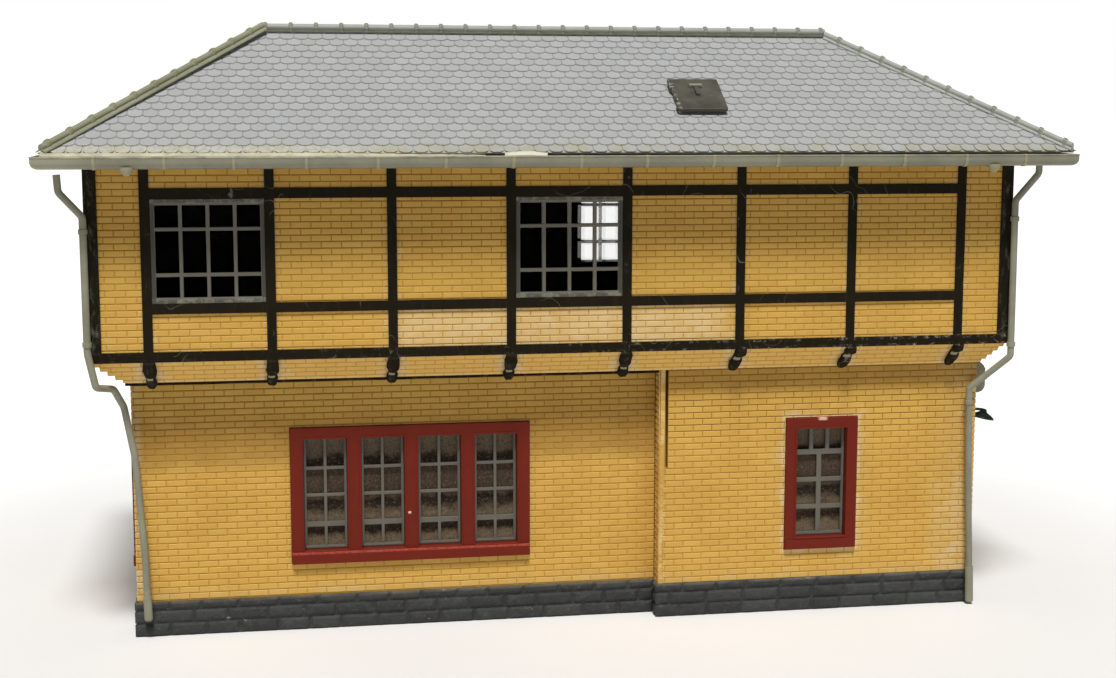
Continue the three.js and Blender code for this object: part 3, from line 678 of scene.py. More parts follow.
def weather_upper_front(mat):
    # rubbed, paler panels under the middle rail, in the middle of the front
    smear = mat.noise(size=3.0, seed=7)
    mat.tint(rgb=(226, 200, 150), by=mat.mul(
        mat.mul(mat.band(mat.x, span=(-24.0, 22.0), soft=7.0),
                mat.band(mat.z, span=(46.3, 52.4), soft=0.5)),
        mat.fade(smear, span=(0.3, 0.65), to=(0.35, 0.8))))
    wide = mat.noise(size=22.0, detail=2, rough=0.5, seed=15)
    mat.tint(rgb=(176, 134, 66), by=mat.mul(mat.fade(wide, span=(0.45, 0.7)), 0.12))
    # pale smears above the sole beam and beside the posts
    mat.tint(rgb=(222, 204, 164), by=mat.mul(
        mat.fade(mat.z, span=(46.5, 48.2), to=(1.0, 0.0)),
        mat.fade(smear, span=(0.5, 0.72)), 0.4))
    mat.tint(rgb=(224, 208, 170), by=mat.mul(
        mat.fade(mat.post_distance(), span=(1.0, 1.9), to=(1.0, 0.0)),
        mat.fade(smear, span=(0.45, 0.7), to=(0.0, 0.35))))


def weather_upper_side(mat):
    smear = mat.noise(size=5.0, seed=8)
    mat.tint(rgb=(214, 186, 134), by=smear, span=(0.55, 0.75), most=0.3)


def weather_and_shade_lower_left(mat):
    """Left part of the lower front."""
    smear = mat.noise(size=3.0, detail=5, rough=0.65, seed=10)
    # painted shade under the cove
    mat.tint(rgb=PAINTED_SHADE_BROWN, by=mat.mul(mat.fade(mat.z, span=(25.3, 28.6), to=(0.0, 0.34)),
                                   mat.fade(mat.z, span=(32.0, 40.0), to=(1.0, 0.3))))
    foot = mat.fade(mat.z, span=(8.4, 6.0))
    mat.haze(rgb=(208, 186, 138), mask=foot, grain=smear, amount=0.4)
    around_window = mat.rim(WIDE_WINDOW, span=(0.1, 0.7))
    mat.haze(rgb=(200, 172, 120), mask=around_window, grain=smear, amount=0.35)
    left_end = mat.fade(mat.x, span=(-66.4, -67.6))
    mat.haze(rgb=(216, 202, 164), mask=left_end, grain=smear, amount=0.7)
    # painted shade beside the projecting part at the step
    mat.tint(rgb=(150, 106, 46), by=mat.x, span=(9.0, STEP_X), most=0.22)


def weather_and_shade_lower_right(mat):
    """Projecting part of the lower front, with its return."""
    smear = mat.noise(size=2.2, detail=5, rough=0.65, seed=9)
    # painted shade under the cove
    mat.tint(rgb=PAINTED_SHADE_BROWN, by=mat.z, span=(36.6, 38.2), most=0.34)
    lumps = mat.noise(size=5.0, detail=3, rough=0.5, seed=14)
    ring = mat.mul(mat.rim(SMALL_WINDOW, span=(0.0, 2.9)),
                   mat.fade(lumps, span=(0.45, 0.62), to=(0.1, 1.0)))
    mat.haze(rgb=(226, 206, 162), mask=ring, grain=smear, amount=0.6)
    mat.tint(rgb=(226, 204, 160), by=mat.mul(
        mat.rim(SMALL_WINDOW, span=(0.25, 0.9)),
        mat.fade(smear, span=(0.4, 0.6), to=(0.2, 0.8))))
    corner = mat.mul(mat.fade(mat.x, span=(60.0, 68.0)),
                     mat.fade(mat.z, span=(30.0, 10.0), to=(0.35, 1.0)))
    mat.haze(rgb=(220, 200, 158), mask=corner, grain=smear, amount=0.8)
    foot = mat.fade(mat.z, span=(8.2, 6.0))
    mat.haze(rgb=(206, 186, 140), mask=foot, grain=smear, amount=0.4)
    # pale cut edge of the return with a painted highlight, and its course lines
    on_edge = mat.fade(mat.x, span=(16.5, 16.4))
    line = mat.fade(mat.phase(mat.z, COURSE, 50.0), span=(0.0, 0.22), to=(1.0, 0.0))
    edge = mat.mix(mat.fade(smear, span=(0.42, 0.62)), (200, 156, 78), (232, 204, 142))
    mat.tint(rgb=mat.mix(mat.mul(line, 0.6), edge, (160, 114, 48)), by=mat.mul(on_edge, 0.6))


def weather_plain(mat):
    smear = mat.noise(size=4.0, detail=5, rough=0.65, seed=12)
    foot = mat.fade(mat.z, span=(9.0, 6.0))
    mat.haze(rgb=(208, 186, 138), mask=foot, grain=smear, amount=0.45)
    mat.tint(rgb=(218, 194, 146), by=smear, span=(0.56, 0.78), most=0.25)


def weather_cove(mat):
    smear = mat.noise(size=1.6, detail=5, rough=0.65, seed=13)
    mat.tint(rgb=(230, 188, 104), by=0.5)
    # pale glue round each strut
    glue = mat.fade(mat.post_distance(), span=(0.8, 3.2), to=(1.0, 0.0))
    mat.haze(rgb=(226, 212, 178), mask=glue, grain=smear, amount=0.85)
    mat.tint(rgb=(226, 200, 150), by=smear, span=(0.5, 0.72), most=0.28)
    mat.tint(rgb=(232, 210, 158), by=mat.z, span=(41.75, 41.35), most=0.55)


# ------------------------------------------------------------------ other materials
def timber_material():
    mat = Material("timber")
    broad = mat.noise(size=6.0, seed=20)
    grain = mat.noise(size=0.8, detail=5, rough=0.65, stretch=(1, 1, 5), seed=21)
    mat.shades(by=broad, low=(25, 21, 12), high=(36, 31, 20))
    mat.tint(rgb=(62, 55, 40), by=grain, span=(0.5, 0.75), most=0.3)
    # fine pale threads of old glue, in patches
    threads = mat.noise(size=5.0, detail=1, rough=0.3, seed=24, distort=0.5)
    patches = mat.noise(size=9.0, detail=2, rough=0.5, seed=23)
    mat.tint(rgb=(168, 162, 140), by=mat.mul(
        mat.band(threads, span=(0.498, 0.502), soft=0.005),
        mat.fade(patches, span=(0.55, 0.62)), 0.28))
    streaks = mat.noise(size=1.3, detail=6, rough=0.75, stretch=(1, 1, 3), seed=22)
    mat.tint(rgb=(146, 142, 122), by=mat.mul(
        mat.fade(streaks, span=(0.62, 0.72)),
        mat.fade(patches, span=(0.45, 0.6), to=(0.05, 0.55))))
    # pale dots on both edges of the sole beam
    dots = mat.noise(size=0.9, detail=5, rough=0.8, seed=25)
    lips = mat.add(mat.band(mat.z, span=(44.9, 45.2), soft=0.25),
                   mat.band(mat.z, span=(46.2, 46.5), soft=0.25))
    lips = mat.mul(lips, mat.fade(mat.x, span=(-25.0, 55.0), to=(0.15, 1.0)),
                   mat.fade(patches, span=(0.36, 0.52)))
    mat.tint(rgb=(160, 153, 132), by=mat.mul(
        lips, mat.fade(dots, span=(0.52, 0.66), to=(0.0, 0.75))))
    corners = mat.fade(mat.math("ABSOLUTE", mat.x), span=(71.4, 72.4))
    mat.tint(rgb=(120, 120, 104), by=mat.mul(
        corners, mat.fade(streaks, span=(0.5, 0.66), to=(0.0, 0.45))))
    # worn strut faces below the sole, and a painted highlight on strut rings with a high shade
    struts = mat.fade(mat.z, span=(44.7, 43.6))
    mat.tint(rgb=(104, 97, 80), by=mat.mul(
        struts, mat.fade(streaks, span=(0.5, 0.66), to=(0.0, 0.3))))
    mat.tint(rgb=(166, 160, 128), by=mat.shade, span=(0.7, 0.95), most=0.85)
    mat.bump(grain, depth=0.03, strength=0.5)
    mat.bump(streaks, depth=0.025, strength=0.4)
    return mat.finish(by=grain, rough=(0.62, 0.78), specular=0.08)


def stone_material():
    mat = Material("stone")
    rough = mat.noise(size=1.6, detail=6, rough=0.7, seed=30)
    fine = mat.noise(size=0.4, rough=0.7, seed=31)
    mat.ramp(by=mat.shade, stops=((0.0, (55, 56, 56)), (0.5, (60, 61, 60)), (1.0, (67, 68, 66))))
    mat.tint(rgb=(86, 87, 84), by=rough, span=(0.48, 0.72), most=0.45)
    mat.tint(rgb=(142, 142, 134), by=mat.mul(mat.fade(fine, span=(0.62, 0.7)), 0.4))
    flecks = mat.noise(size=3.2, detail=6, rough=0.8, stretch=(2.2, 1, 1), seed=32)
    mat.tint(rgb=(172, 170, 158), by=flecks, span=(0.63, 0.68), most=0.6)
    # pale upper edge of the plinth
    mat.tint(rgb=(128, 125, 110), by=mat.mul(
        mat.fade(mat.z, span=(5.15, 5.6)), mat.fade(flecks, span=(0.35, 0.6), to=(0.1, 0.5))))
    mat.bump(rough, depth=0.12, strength=0.8)
    mat.bump(fine, depth=0.05, strength=0.7)
    return mat.finish(by=rough, rough=(0.6, 0.8), specular=0.2)


def red_material():
    mat = Material("red_joinery")
    broad = mat.noise(size=5.0, seed=40)
    fine = mat.noise(size=0.5, detail=5, rough=0.7, seed=41)
    flecks = mat.noise(size=1.1, detail=5, rough=0.75, seed=42)
    mat.shades(by=broad, low=(107, 32, 18), high=(119, 37, 21))
    mat.tint(rgb=(146, 60, 44), by=fine, span=(0.55, 0.75), most=0.2)
    mat.tint(rgb=(186, 128, 112), by=flecks, span=(0.69, 0.75), most=0.45)
    # painted highlight on the top edge of the wide window's sill
    mat.tint(rgb=(188, 84, 68), by=mat.mul(
        mat.mul(mat.band(mat.z, span=(12.5, 12.72), soft=0.12),
                mat.fade(mat.x, span=(-5.0, -5.6))),
        mat.fade(fine, span=(0.35, 0.6), to=(0.3, 0.8))))
    # nick at the head of the small window, then a chip on the wide one
    mat.tint(rgb=(236, 196, 186), by=mat.mul(
        mat.band(mat.x, span=(42.6, 43.4), soft=0.6),
        mat.band(mat.z, span=(32.45, 32.8), soft=0.25),
        mat.fade(fine, span=(0.3, 0.5), to=(0.4, 1.0)), 0.85))
    mat.tint(rgb=(230, 196, 176), by=mat.mul(
        mat.band(mat.x, span=(-25.2, -24.95), soft=0.22),
        mat.band(mat.z, span=(18.6, 18.75), soft=0.2)))
    mat.bump(fine, depth=0.015, strength=0.4)
    return mat.finish(by=broad, rough=(0.42, 0.55), specular=0.15)


def grey_material():
    mat = Material("grey_joinery")
    broad = mat.noise(size=5.0, seed=50)
    fine = mat.noise(size=0.5, detail=5, rough=0.7, seed=51)
    mat.shades(by=broad, low=(92, 88, 78), high=(112, 108, 98))
    mat.tint(rgb=(140, 138, 126), by=fine, span=(0.55, 0.74), most=0.3)
    mat.tint(rgb=(62, 60, 52), by=fine, span=(0.34, 0.26), most=0.4)
    # painted shade on the outer rim of each upper insert
    mat.tint(rgb=(64, 63, 54), by=mat.shade, span=(0.3, 0.0), most=1.0)
    # glue and dust along the top and bottom rims
    rims = mat.add(mat.band(mat.z, span=(53.8, 54.5), soft=0.3),
                   mat.band(mat.z, span=(69.2, 69.8), soft=0.3))
    dust = mat.noise(size=1.4, detail=5, rough=0.75, seed=52)
    mat.tint(rgb=(142, 141, 122), by=mat.mul(
        rims, mat.fade(dust, span=(0.45, 0.62), to=(0.1, 0.7))))
    mat.bump(fine, depth=0.02, strength=0.5)
    return mat.finish(by=broad, rough=(0.38, 0.55), specular=0.5)


# Colour of the frosted sheets by height, with painted shadows of the bars and painted lit bands:
# (z, rgb).
FROST_LIGHT_AND_SHADE_BANDS = (
    (13.3, (124, 108, 88)), (14.5, (112, 96, 76)), (15.4, (48, 38, 28)), (16.4, (70, 57, 45)),
    (17.5, (120, 104, 84)), (18.7, (88, 74, 60)), (19.4, (44, 34, 27)), (20.5, (46, 36, 29)),
    (21.3, (106, 92, 74)), (22.0, (74, 61, 49)), (24.6, (78, 64, 52)), (25.9, (84, 70, 56)),
    (26.5, (34, 26, 18)), (27.4, (46, 37, 26)), (28.2, (104, 91, 74)), (30.8, (114, 101, 84)),
)
FROST_FOOT, FROST_HEIGHT = 13.0, 18.0        # the part of z that the ramp covers


def frost_material():
    mat = Material("frosted_sheet")
    waves = mat.noise(size=2.2, seed=60)
    grain = mat.noise(size=0.42, rough=0.75, seed=61)
    height = mat.add(mat.z, mat.mul(mat.sub(waves, 0.5), 3.0))
    mat.ramp(by=mat.math("DIVIDE", mat.sub(height, FROST_FOOT), FROST_HEIGHT),
             stops=[((z - FROST_FOOT) / FROST_HEIGHT, rgb) for z, rgb in FROST_LIGHT_AND_SHADE_BANDS])
    mat.tint(rgb=(30, 23, 15), by=grain, span=(0.5, 0.36), most=0.5)
    mat.tint(rgb=(140, 127, 100), by=grain, span=(0.52, 0.68), most=0.4)
    mat.bump(waves, depth=0.12, strength=0.6)
    mat.bump(grain, depth=0.05, strength=0.7)
    return mat.finish(by=grain, rough=(0.55, 0.75), specular=0.12)


def clear_material():
    mat = Material("clear_sheet")
    broad = mat.noise(size=12.0, detail=3, seed=70)
    fine = mat.noise(size=0.8, detail=5, rough=0.7, seed=71)
    mat.shades(by=broad, low=(226, 232, 232), high=(240, 244, 243))
    mat.bump(broad, depth=0.03, strength=0.3)
    return mat.finish(by=fine, span=(0.4, 0.8), rough=(0.03, 0.12), specular=0.5,
                      Transmission_Weight=1.0, IOR=1.08,
                      Alpha=mat.fade(broad, span=(0.2, 0.8), to=(0.14, 0.24)))


def card_material():
    mat = Material("black_card")
    grain = mat.noise(size=1.2, detail=6, rough=0.7, seed=80)
    mat.shades(by=grain, low=(16, 16, 16), high=(32, 31, 29))
    mat.bump(grain, depth=0.04, strength=0.6)
    return mat.finish(by=grain, rough=(0.75, 0.92), specular=0.2)


def tile_material():
    mat = Material("roof_tile")
    broad = mat.noise(size=16.0, rough=0.55, seed=90)
    fine = mat.noise(size=0.7, detail=5, rough=0.7, seed=91)
    patches = mat.noise(size=5.0, detail=5, seed=92)
    mat.ramp(by=mat.shade, stops=((0.0, (172, 174, 174)), (0.5, (175, 177, 177)),
                                  (1.0, (181, 182, 182))))
    mat.tint(rgb=(172, 175, 179), by=broad, span=(0.45, 0.7), most=0.3)
    # a touch of olive towards the eaves, and old glue on the left part of the edge
    mat.tint(rgb=(170, 168, 148), by=mat.mul(
        mat.fade(mat.z, span=(84.0, 77.4), to=(0.05, 0.4)),
        mat.fade(patches, span=(0.5, 0.7), to=(0.0, 0.5))))
    mat.tint(rgb=(172, 168, 138), by=mat.mul(
        mat.fade(mat.z, span=(78.5, 77.5)),
        mat.fade(patches, span=(0.4, 0.62), to=(0.1, 0.65))))
    glue = mat.mul(mat.fade(mat.x, span=(-18.0, -40.0)), mat.fade(mat.z, span=(78.3, 77.5)))
    mat.tint(rgb=(206, 202, 184), by=mat.mul(
        glue, mat.fade(fine, span=(0.4, 0.6), to=(0.1, 0.7))))
    spots = mat.noise(size=1.9, detail=5, rough=0.75, seed=93)
    mat.tint(rgb=(210, 209, 202), by=spots, span=(0.71, 0.77), most=0.5)
    # the joints have shade 0 and get a painted shadow
    mat.tint(rgb=(146, 146, 142), by=mat.shade, span=(0.1, 0.04), most=0.8)
    mat.bump(fine, depth=0.015, strength=0.4)
    return mat.finish(by=fine, rough=(0.5, 0.66), specular=0.25)


def olive_material(name, low, high, ring, ring_amount, gutter_lip=False):
    """Paint whose parts with a high shade, the rings and rolls, take the ring colour."""
    mat = Material(name)
    broad = mat.noise(size=7.0, seed=100)
    fine = mat.noise(size=0.6, detail=5, rough=0.7, seed=101)
    mat.shades(by=broad, span=(0.3, 0.7), low=low, high=high)
    mat.tint(rgb=ring, by=mat.mul(mat.fade(mat.shade, span=(0.6, 1.0)), ring_amount))
    mat.tint(rgb=(172, 170, 152), by=fine, span=(0.55, 0.74), most=0.25)
    stains = mat.noise(size=2.2, detail=5, rough=0.7, seed=102)
    mat.tint(rgb=(118, 112, 80), by=stains, span=(0.62, 0.76), most=0.3)
    if gutter_lip:
        # cream lip that fades to the right, and a paler left end
        blotches = mat.noise(size=3.0, seed=103)
        lip = mat.mul(mat.fade(mat.z, span=(75.9, 76.25)),
                      mat.fade(blotches, span=(0.35, 0.6), to=(0.25, 1.0)))
        mat.tint(rgb=(206, 202, 176), by=mat.mul(
            lip, mat.fade(mat.x, span=(30.0, -60.0), to=(0.25, 0.75))))
        mat.tint(rgb=(176, 172, 150), by=mat.mul(mat.fade(mat.x, span=(-70.0, -79.0)), 0.5))
    # painted shade on the foot of a cap and under its roll, where the shade is low
    mat.tint(rgb=(84, 86, 70), by=mat.shade, span=(0.3, 0.1))
    mat.bump(fine, depth=0.02, strength=0.5)
    return mat.finish(by=broad, rough=(0.42, 0.58), specular=0.3)


def hatch_material():
    mat = Material("hatch_grey")
    broad = mat.noise(size=4.0, seed=110)
    fine = mat.noise(size=0.5, detail=5, rough=0.7, seed=111)
    mat.shades(by=broad, span=(0.3, 0.7), low=(70, 66, 57), high=(92, 89, 78))
    mat.tint(rgb=(140, 134, 116), by=fine, span=(0.6, 0.76), most=0.5)
    mat.tint(rgb=(160, 157, 142), by=mat.mul(mat.fade(mat.shade, span=(0.6, 1.0)), 0.8))
    # pale flecks along the left edge
    flecks = mat.noise(size=0.7, rough=0.7, seed=112)
    mat.tint(rgb=(196, 192, 178), by=mat.mul(
        mat.fade(mat.x, span=(18.7, 18.0)), mat.fade(flecks, span=(0.5, 0.62)), 0.8))
    mat.bump(fine, depth=0.03, strength=0.6)
    return mat.finish(by=broad, rough=(0.5, 0.66), specular=0.4)


def lamp_material():
    mat = Material("lamp_green")
    broad = mat.noise(size=1.2, detail=5, seed=120)
    mat.shades(by=broad, low=(24, 44, 36), high=(38, 64, 52))
    # the bulb has shade 1
    mat.tint(rgb=(214, 208, 180), by=mat.mul(mat.fade(mat.shade, span=(0.6, 1.0)), 1.0))
    mat.bump(broad, depth=0.02, strength=0.4)
    return mat.finish(by=broad, rough=(0.28, 0.42), specular=0.5)


def slab_material():
    mat = Material("slab_grey")
    broad = mat.noise(size=7.0, seed=130)
    fine = mat.noise(size=0.9, detail=5, rough=0.7, seed=131)
    plank = mat.phase(mat.x, pitch=4.0, offset=60.0)
    line = mat.mul(mat.fade(plank, span=(0.0, 0.03), to=(1.0, 0.0)), 0.6)
    mat.shades(by=broad, low=(120, 120, 112), high=(146, 145, 136))
    mat.tint(rgb=(172, 170, 160), by=fine, span=(0.55, 0.74), most=0.3)
    mat.tint(rgb=(80, 79, 72), by=line)
    mat.bump(fine, depth=0.03, strength=0.5)
    return mat.finish(by=broad, rough=(0.6, 0.78), specular=0.3)


def glue_material():
    mat = Material("old_glue")
    lumps = mat.noise(size=2.6, seed=110)
    mat.shades(by=lumps, span=(0.35, 0.65), low=(186, 182, 152), high=(212, 208, 182))
    mat.tint(rgb=(226, 224, 204), by=mat.mul(mat.fade(mat.x, span=(-12.0, -10.0)), 0.7))
    mat.bump(lumps, depth=0.03, strength=0.5)
    return mat.finish(rough=0.6, specular=0.25)


MORTAR = mortar_material()
BRICK_UPPER_FRONT = brick_material("brick_upper_front", weather_upper_front)
BRICK_UPPER_SIDE = brick_material("brick_upper_side", weather_upper_side)
BRICK_LOWER_LEFT = brick_material("brick_lower_left", weather_and_shade_lower_left)
BRICK_LOWER_RIGHT = brick_material("brick_lower_right", weather_and_shade_lower_right)
BRICK_LOWER = brick_material("brick_lower", weather_plain)
BRICK_COVE = brick_material("brick_cove", weather_cove)
TIMBER = timber_material()
STONE = stone_material()
RED = red_material()
GREY = grey_material()
FROST = frost_material()
CLEAR = clear_material()
CARD = card_material()
TILE = tile_material()
OLIVE = olive_material("olive_grey", low=(132, 131, 113), high=(152, 150, 131),
                       ring=(150, 144, 106), ring_amount=0.4)
HATCH_GREY = hatch_material()
LAMP = lamp_material()
SLAB = slab_material()
OLIVE_GREEN = olive_material("olive_green", low=(136, 138, 112), high=(152, 153, 130),
                             ring=(132, 132, 92), ring_amount=0.8)
OLIVE_LIGHT = olive_material("olive_light", low=(158, 161, 153), high=(174, 177, 170),
                             ring=(122, 122, 98), ring_amount=0.75)
GLUE = glue_material()
OLIVE_GUTTER = olive_material("olive_gutter", low=(130, 128, 111), high=(145, 143, 124),
                              ring=(166, 162, 130), ring_amount=0.8, gutter_lip=True)


# ------------------------------------------------------------------ plinth
STONE_ROWS = ((0.04, 2.15), (2.15, 4.2), (4.2, Z_PLINTH))


def stone(shape, plane, rect, shade):
    """One hewn stone: a wavy grid that swells from its edges, with a skirt and a back."""
    a0, a1, v0, v1 = rect
    width, height = a1 - a0, v1 - v0
    columns, rows = max(3, int(width / 0.38)), max(3, int(height / 0.34))
    points = []
    proud = rng.uniform(-0.06, 0.05)
    for j in range(rows + 1):
        for i in range(columns + 1):
            s, t = i / columns, j / rows
            along, up = a0 + width * s, v0 + height * t
            edge = min(s * width, (1 - s) * width, t * height, (1 - t) * height)
            swell = 1 - math.exp(-edge * 4.0)
            x, y, z = plane.at(along, up)
            out = (0.02 + 0.34 * swell + proud * swell
                   + 0.1 * wobble(x * 0.9, y * 0.9, z * 0.9 + shade * 40) * swell
                   + 0.08 * wobble(x * 2.6, y * 2.6, z * 2.6))
            points.append((along, up, min(max(out, 0.02), 0.42)))
    first = len(points)
    faces = grid_faces(columns, rows)
    rim = grid_rim(columns, rows)
    points += [(points[k][0], points[k][1], -0.1) for k in rim]
    count = len(rim)
    for k in range(count):
        n = (k + 1) % count
        faces.append((rim[k], first + k, first + n, rim[n]))
    faces.append(tuple(first + k for k in range(count))[::-1])
    put(shape, plane, points, faces, shade)


def stone_rows(shape, plane, start, end, shift=0.0, hole=None):
    for row, (low, high) in enumerate(STONE_ROWS):
        a = start - (row % 2) * 2.6 + shift
        while a < end:
            width = rng.uniform(4.9, 6.4)
            a0, a1 = max(a, start), min(a + width, end)
            a += width
            if end - a1 < 1.3:
                # the last stone takes up a short remainder
                a1, a = end, end + 1
            if a1 - a0 < 0.5:
                continue
            rect = (a0 + 0.11, a1 - 0.11, low + 0.1, high - 0.1)
            for piece in minus(rect, hole) if hole else [rect]:
                if piece[1] - piece[0] > 0.3 and piece[3] - piece[2] > 0.3:
                    stone(shape, plane, piece, rng.random())


def plinth():
    shape = Shape()
    core = 0.12                              # the core wall stands this far outside the bricks
    depth = WALL - 0.1
    x0, x1 = LEFT_X - core, RIGHT_X + core
    y_front, y_proud, y_back = -FRONT_Y - core, -PROUD_Y - core, BACK_Y + core
    door = (DOOR[0], DOOR[1], DOOR[2], 9)
    # plane, start, end, holes, thickness
    for plane, start, end, holes, thickness in (
            (front(y_front), x0, STEP_X - core, [], depth),
            (front(y_proud), STEP_X - core, x1, [], depth + 3.0),
            (rear(y_back), x0, x1, [], depth),
            (left(x0), y_front + 0.05, y_back - 0.05, [], depth),
            (right(x1), y_proud + 0.05, y_back - 0.05, [door], depth)):
        plate(shape, plane, (start, end, 0.02, Z_PLINTH - 0.12), holes, -thickness, 0, 0.3)

    stone_rows(shape, front(y_front), LEFT_X - 0.5, STEP_X - core - 0.02)
    stone_rows(shape, front(y_proud), STEP_X - 0.5, RIGHT_X + 0.5, shift=-1.0)
    stone_rows(shape, rear(y_back), LEFT_X - 0.5, RIGHT_X + 0.5, shift=-1.7)
    stone_rows(shape, left(x0), -FRONT_Y - 0.1, BACK_Y + 0.1, shift=-0.8)
    stone_rows(shape, right(x1), -PROUD_Y - 0.1, BACK_Y + 0.1, shift=-2.1,
               hole=(DOOR[0] - 0.02, DOOR[1] + 0.02, DOOR[2], 9))
    stone_rows(shape, left(STEP_X - core), -PROUD_Y - 0.1, -FRONT_Y - 0.45, shift=-0.4)
    make("plinth_stones", shape, [STONE], stands="plinth")


# ------------------------------------------------------------------ lower storey walls
LOWER_FOOT = Z_PLINTH - 0.1
BED, PROUD_BED = 39.44, 40.2                 # height of one bed joint in each brick pattern


def brick_wall(name, plane, core, face, material, holes=(), **bond):
    """Mortar-coloured core plate with a skin of bricks; core and face are their rectangles."""
    shape = Shape()
    plate(shape, plane, core, holes, -WALL, -MORTAR_DEPTH, slot=1)
    bricks(shape, plane, face, holes, **bond)
    make(name + "_bricks", shape, [material, MORTAR], stands=name)


def projecting_wall():
    """Right part of the lower front, with its return at the step."""
    shape = Shape()
    plane = front(-PROUD_Y)
    slit_foot = 24.9                         # open joint between the return and the front
    slit = (STEP_X + 1.02, STEP_X + 1.5, slit_foot, Z_LOWER + 1)
    plate(shape, plane, (STEP_X + 0.15, RIGHT_X - 0.15, LOWER_FOOT, Z_LOWER),
          [SMALL_WINDOW, slit], -WALL, -MORTAR_DEPTH, slot=1)
    plate(shape, GROUND, (STEP_X + 0.15, STEP_X + 1.6, -PROUD_Y + WALL, -FRONT_Y + 0.4),
          [], LOWER_FOOT, Z_LOWER, slot=1)
    for start, low, high in ((1.5, slit_foot, Z_LOWER), (0.74, LOWER_FOOT, slit_foot)):
        bricks(shape, plane, (STEP_X + start, RIGHT_X, low, high), [SMALL_WINDOW],
               line=PROUD_BED, shift=STEP_X + 1.1)
    # the edge of the return, seen end-on, is smooth and leans a little
    steps = 24
    rings = []
    for k in range(steps + 1):
        z = LOWER_FOOT + (Z_LOWER - LOWER_FOOT) * k / steps
        lean = 0.02 * wobble(3.0, z * 0.6, 1.0) + 0.3 * min(1.0, max(0.0, (z - 8.0) / 26.0))
        rings.append([(STEP_X + 0.02, -PROUD_Y + 0.3, z),
                      (STEP_X + 0.06 + lean, -PROUD_Y + 0.02, z),
                      (STEP_X + 0.66 + lean, -PROUD_Y - 0.02, z),
                      (STEP_X + 0.72 + lean, -PROUD_Y + 0.3, z)])
    loft(shape, rings, shade=0.7)
    bricks(shape, left(STEP_X), (-PROUD_Y + 0.2, -FRONT_Y - 0.02, LOWER_FOOT, Z_LOWER),
           line=PROUD_BED, shift=-PROUD_Y + 2.2)
    make("lower_wall_front_right_bricks", shape, [BRICK_LOWER_RIGHT, MORTAR],
         stands="lower_wall_front_right")


def lower_walls():
    def wall(name, plane, start, end, core_in, face_in, material, holes=(), **bond):
        """core_in and face_in are the distances of the core and bricks from each end."""
        core, face = ((start + by[0], end - by[1], LOWER_FOOT, Z_LOWER)
                      for by in (core_in, face_in))
        brick_wall("lower_wall_" + name, plane, core, face, material, holes, **bond)

    wall("front_left", front(-FRONT_Y), LEFT_X, STEP_X, (0.15, GAP), (0.0, GAP),
         BRICK_LOWER_LEFT, [WIDE_WINDOW], line=BED, shift=LEFT_X + 0.4)
    projecting_wall()
    wall("back", rear(BACK_Y), LEFT_X, RIGHT_X, (0.15, 0.15), (0.0, 0.0),
         BRICK_LOWER, line=BED, shift=0.7)
    wall("left", left(LEFT_X), -FRONT_Y, BACK_Y, (WALL, WALL), (0.17, 0.17),
         BRICK_LOWER, [SIDE_WINDOW], line=BED, shift=1.1)
    wall("right", right(RIGHT_X), -PROUD_Y, BACK_Y, (WALL, WALL), (0.17, 0.17),
         BRICK_LOWER, [(DOOR[0], DOOR[1], 0, DOOR[3])], line=PROUD_BED, shift=0.3)


# ------------------------------------------------------------------ jetty
def jetty_cove():
    shape = Shape()
    back, thick = 0.16, 1.3                  # core behind the brick faces, and its thickness

    def corners(x0, x1, y, z):
        x0, x1, y = x0 + back, x1 - back, y - back
        return [(x0, -y, z), (x1, -y, z), (x1, y, z), (x0, y, z)]

    outer_top = corners(-UPPER_X, UPPER_X, UPPER_Y, COVE_TOP)
    outer_low = corners(COVE_LEFT, COVE_RIGHT, COVE_Y, COVE_Z + 0.02)
    inner_low = [(x * (1 - thick / abs(x)), y * (1 - thick / abs(y)), z)
                 for x, y, z in outer_low]
    inner_top = [(x, y, COVE_TOP) for x, y, _ in inner_low]
    faces = []
    for a, b in ((0, 1), (1, 2), (2, 3), (3, 0)):
        for i in range(4):
            j = (i + 1) % 4
            faces.append((a * 4 + i, b * 4 + i, b * 4 + j, a * 4 + j))
    shape.add(outer_top + outer_low + inner_low + inner_top, faces, slot=1)

    for side, (plane, length) in COVES.items():
        def long_ends(low, high):
            return (COVE_LEFT - (UPPER_X + COVE_LEFT) * high / length,
                    COVE_RIGHT + (UPPER_X - COVE_RIGHT) * high / length)

        def short_ends(low, high):
            reach = COVE_Y + (UPPER_Y - COVE_Y) * low / length - 0.3
            return -reach, reach

        half, ends = (UPPER_X, long_ends) if side in LONG_SIDES else (UPPER_Y, short_ends)
        bricks(shape, plane, (-half, half, 0, length), line=length - 0.02, shift=0.4,
               ends=ends, joint=0.1, face=-0.06)
    make("jetty_cove_bricks", shape, [BRICK_COVE, MORTAR], stands="jetty_cove")


def jetty_soffit():
    """Dark board with an uneven front edge, under the left part."""
    shape = Shape()
    x0, x1 = LEFT_X - 0.5, STEP_X - 0.05
    back, top, bottom = -FRONT_Y - 0.05, COVE_Z - 0.05, 40.85
    steps = 60
    rings = []
    for i in range(steps + 1):
        x = x0 + (x1 - x0) * i / steps
        edge = -22.5 + 0.22 * wobble(x * 0.16, 3.1, 0) + 0.05 * wobble(x * 0.9, 1.0, 0)
        sag = 0.1 * wobble(x * 0.13, 8.0, 0)
        rings.append([(x, edge, bottom + sag), (x, back, bottom + sag * 0.3),
                      (x, back, top), (x, edge, top)])
    loft(shape, rings)
    make("jetty_soffit_board", shape, [TIMBER], stands="jetty_soffit")


# Side view of the console: (x, z).
CONSOLE = ((69.9, 35.8), (71.0, 35.8), (71.7, 36.05), (72.1, 36.6), (72.2, 37.6),
           (72.15, 39.6), (71.9, 40.4), (71.3, 40.95), (69.9, 40.95))


